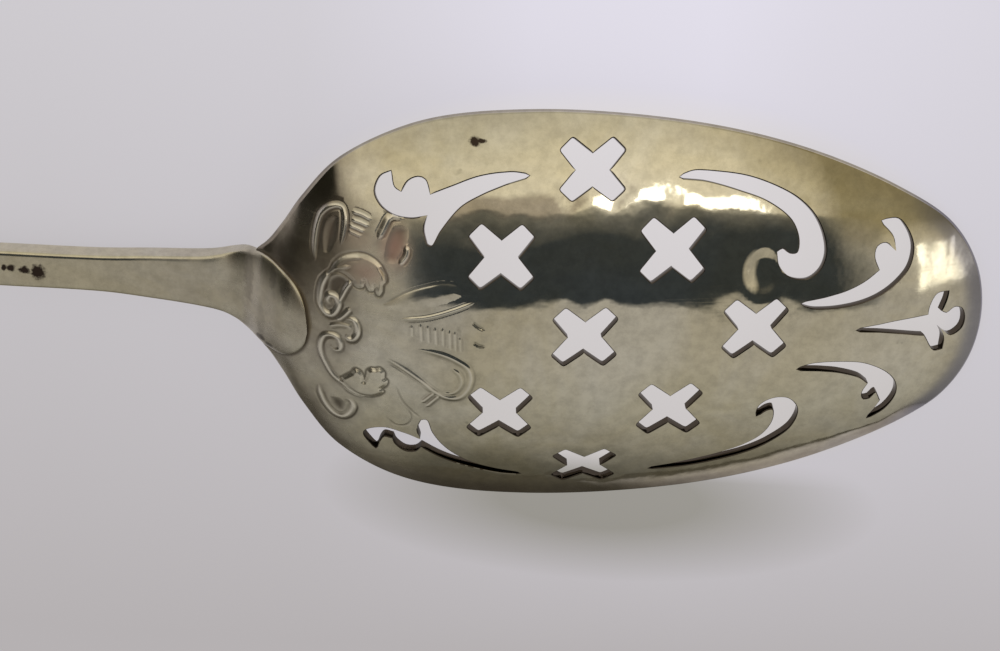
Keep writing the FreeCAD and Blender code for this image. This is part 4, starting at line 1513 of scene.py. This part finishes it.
class SCENE_OT_mote_spoon_stage(bpy.types.Operator):
    """Set up the pale floor, the soft light and the camera"""
    bl_idname = "scene.mote_spoon_stage"
    bl_label = "Stage"
    bl_options = {"REGISTER", "UNDO"}

    def execute(self, context):
        self.floor(context)
        self.world(context)
        self.lamps()
        self.camera(context)
        context.scene.view_settings.view_transform = "Standard"
        return {"FINISHED"}

    def floor(self, context):
        start_fresh()
        bpy.ops.mesh.primitive_plane_add(size=FLOOR_SIZE, location=(0, 0, -FLOOR_GAP))
        floor = context.object
        floor.name = "floor"
        material = bpy.data.materials.new("pale_table")
        material.use_nodes = True
        w = Wiring(material.node_tree)
        split = w.add("ShaderNodeSeparateXYZ")
        w.join(w.add("ShaderNodeTexCoord").outputs["Object"], split.inputs["Vector"])
        x, y, _ = split.outputs
        tint = self.table_tone(w, x, y)
        shader = material.node_tree.nodes["Principled BSDF"]
        w.join(tint, shader.inputs["Base Color"])
        shader.inputs["Roughness"].default_value = 0.42
        shader.inputs["Specular IOR Level"].default_value = 0.25
        # seen straight on, the table is mostly its own plain colour, with some shadow
        path = w.add("ShaderNodeLightPath")
        camera, glossy = path.outputs["Is Camera Ray"], path.outputs["Is Glossy Ray"]
        plain = w.add("ShaderNodeEmission")
        shade = w.times(self.mirrored_shade(w, x, y), glossy)
        w.join(w.mix(shade, tint, MIRRORED_SHADE), plain.inputs["Color"])
        blend = w.add("ShaderNodeMixShader")
        share = w.times(w.maths("MAXIMUM", camera, glossy), w.line(glossy, 0.12, 0.86))
        w.join(share, blend.inputs["Fac"])
        w.join(shader.outputs["BSDF"], blend.inputs[1])
        w.join(plain.outputs["Emission"], blend.inputs[2])
        output = material.node_tree.nodes["Material Output"]
        w.join(blend.outputs["Shader"], output.inputs["Surface"])
        floor.data.materials.append(material)

    def table_tone(self, w, x, y):
        """Colour of the table: greyer in front, paler and cooler to the far right, with painted
        light under the bowl and painted shade just in front of it.
        """
        base = tuple(sizes().floor_colour)

        def toned(tone):
            return tuple(f * c for f, c in zip(tone, base))

        def oval(middle, reach):
            """Half of how far out a place is, where 1 is on the oval."""
            legs = []
            for value, at, length in zip((x, y), middle, reach):
                leg = w.times(w.maths("ADD", value, -at), 1 / length)
                legs.append(w.times(leg, leg))
            return w.times(w.maths("POWER", w.maths("ADD", *legs), 0.5), 0.5)

        back = w.line(y, 22.0, 0.52)
        tint = w.mix(back, toned(FRONT_TONE), base)
        right = w.times(w.ramp(w.line(x, 10.0, 0.0), *RIGHT_STOPS), back)
        tint = w.mix(right, tint, toned(RIGHT_TONE))
        # painted light under the bowl, so that its openings show the table pale, and painted shadow
        # and reflection of the bowl just in front of it
        under = w.ramp(oval(*PAINTED_LIGHT_UNDER_BOWL[:2]), (0.46, 1.0), (0.53, 0.0))
        tint = w.mix(under, tint, PAINTED_LIGHT_UNDER_BOWL[2], "MULTIPLY")
        painted_shade = w.ramp(oval(*PAINTED_SHADE_BEFORE_BOWL[:2]), (0.18, 1.0), (0.50, 0.0))
        painted_shade = w.times(painted_shade, w.line(y, -700.0, -7.1))
        return w.mix(painted_shade, tint, PAINTED_SHADE_BEFORE_BOWL[2], "MULTIPLY")

    def mirrored_shade(self, w, x, y):
        """Where the bowl's rim mirrors a table that the bowl itself darkens."""
        near = w.times(w.line(y, -160.0, -0.9), w.line(x, 100.0, -0.8), w.line(x, -125.0, 7.6))
        return w.maths("MAXIMUM", near, w.line(y, -25.0, -0.75))

    def world(self, context):
        """A room for the metal to mirror: pale above, one dark stretch, greyer below."""
        world = bpy.data.worlds.new("studio")
        context.scene.world = world
        world.use_nodes = True
        w = Wiring(world.node_tree)
        background = world.node_tree.nodes["Background"]
        turn = w.add("ShaderNodeVectorRotate", rotation_type="Y_AXIS")
        turn.inputs["Angle"].default_value = -TILT
        w.join(w.add("ShaderNodeTexCoord").outputs["Generated"], turn.inputs["Vector"])
        split = w.add("ShaderNodeSeparateXYZ")
        w.join(turn.outputs["Vector"], split.inputs["Vector"])
        x, y, z = split.outputs
        # 0 to 1 from the front to the back, and from the stem's end past the tip
        depth = w.line(y, 0.5, 0.5)
        aside = w.line(x, 0.5, 0.5)
        room = w.ramp(depth, *ROOM)
        room = w.mix(1.0, room, w.ramp(aside, (0.44, 0.94), (0.60, 1.10)), "MULTIPLY")
        # the room is browner past the tip and darker past the heel
        tip = w.times(w.ramp(aside, (0.65, 0.0), (0.75, 1.0)),
                      w.ramp(depth, (0.52, 0.0), (0.62, 1.0)))
        room = w.mix(tip, room, PAST_TIP)
        corner = w.maths("ADD", depth, w.times(aside, 0.89))
        heel = w.times(w.ramp(aside, (0.12, 1.0), (0.26, 0.0)),
                       w.ramp(depth, (0.28, 0.0), (0.35, 1.0)),
                       w.ramp(corner, (0.69, 1.0), (0.79, 0.0)))
        room = w.mix(heel, room, w.ramp(aside, *PAST_HEEL))
        # grey card beside the dark stretch
        across = w.ramp(aside, (0.37, 0.0), (0.42, 1.0), (0.565, 1.0), (0.58, 0.0))
        raised = w.maths("ADD", depth, w.times(across, CARD_RAISE))
        card = w.times(across, 0.85, w.ramp(
            raised, (0.600, 0.0), (0.605, 1.0), (0.665, 1.0), (0.69, 0.0)))
        room = w.mix(card, room, GREY_CARD)
        # dark stretch overhead, between two soft edges
        past = w.maths("MINIMUM", w.maths("ADD", x, 0.05), 0.0)
        slant = w.maths("ADD", depth, w.times(past, 0.20))
        dark = w.times(
            w.ramp(slant, (0.340, 0.0), (0.358, 1.0)), w.ramp(raised, *DARK_END),
            w.ramp(aside, (0.24, 0.0), (0.33, 1.0)), w.ramp(aside, (0.70, 1.0), (0.78, 0.0)),
            w.ramp(z, (0.35, 0.0), (0.50, 1.0)))
        room = w.mix(dark, room, DARK_STRETCH)
        path = w.add("ShaderNodeLightPath")
        seen = w.mix(path.outputs["Is Glossy Ray"], PLAIN_ROOM, room)
        seen = w.mix(path.outputs["Is Camera Ray"], seen, BACKDROP)
        w.join(seen, background.inputs["Color"])
        background.inputs["Strength"].default_value = 1.0

    def lamps(self):
        """Two soft lamps, one along the bowl overhead and one low past its tip."""
        for name, towards, length, width, energy in LAMPS:
            soft = bpy.data.lights.new(name, "AREA")
            soft.shape = "RECTANGLE"
            soft.size = length
            soft.size_y = width
            soft.energy = energy
            soft.color = LAMP_COLOUR
            lamp = bpy.data.objects.new(name, soft)
            bpy.context.collection.objects.link(lamp)
            towards = (Matrix.Rotation(TILT, 3, "Y") @ Vector(towards)).normalized()
            side = Vector((1, 0, 0)) - towards * towards.x
            side.normalize()
            place = Matrix.Translation(towards * LAMP_DISTANCE + Vector(LAMP_TARGET))
            lamp.matrix_world = place @ Matrix(
                (side, towards.cross(side), towards)).transposed().to_4x4()

    def camera(self, context):
        turn = Euler([math.radians(v) for v in CAMERA_TURN]).to_matrix()
        data = bpy.data.cameras.new("camera")
        data.sensor_width = CAMERA_SENSOR
        data.lens = CAMERA_SENSOR * CAMERA_PIXELS_PER_MM * CAMERA_DISTANCE / PHOTO_WIDTH
        data.clip_start = 0.001
        camera = bpy.data.objects.new("camera", data)
        context.collection.objects.link(camera)
        aside = turn @ Vector((-CAMERA_ASIDE[0], -CAMERA_ASIDE[1], CAMERA_DISTANCE))
        place = Matrix.Translation(Vector((CAMERA_TARGET, 0, 0)) + aside)
        laid = bowl_place() @ place @ turn.to_4x4()
        laid.translation *= MM
        camera.matrix_world = laid
        context.scene.camera = camera


class VIEW3D_PT_mote_spoon(bpy.types.Panel):
    """Sizes and steps of the mote spoon"""
    bl_label = "Mote spoon"
    bl_idname = "VIEW3D_PT_mote_spoon"
    bl_space_type = "VIEW_3D"
    bl_region_type = "UI"
    bl_category = "Mote spoon"

    def draw(self, context):
        layout = self.layout
        layout.use_property_split = True
        for name in MoteSpoonSizes.__annotations__:
            layout.prop(context.scene.mote_spoon_sizes, name)
        for step_class in STEPS:
            layout.operator(step_class.bl_idname)


STEPS = (
    MESH_OT_mote_spoon_bowl, MESH_OT_mote_spoon_stem, MESH_OT_mote_spoon_finial,
    SCENE_OT_mote_spoon_stage,
)
CLASSES = (MoteSpoonSizes, *STEPS, VIEW3D_PT_mote_spoon)


def register():
    for cls in CLASSES:
        bpy.utils.register_class(cls)
    bpy.types.Scene.mote_spoon_sizes = PointerProperty(type=MoteSpoonSizes)


def unregister():
    del bpy.types.Scene.mote_spoon_sizes
    for cls in reversed(CLASSES):
        bpy.utils.unregister_class(cls)


def main():
    register()
    bpy.ops.mesh.mote_spoon_bowl()
    bpy.ops.mesh.mote_spoon_stem()
    bpy.ops.mesh.mote_spoon_finial()
    bpy.ops.scene.mote_spoon_stage()


if __name__ == "__main__":
    main()
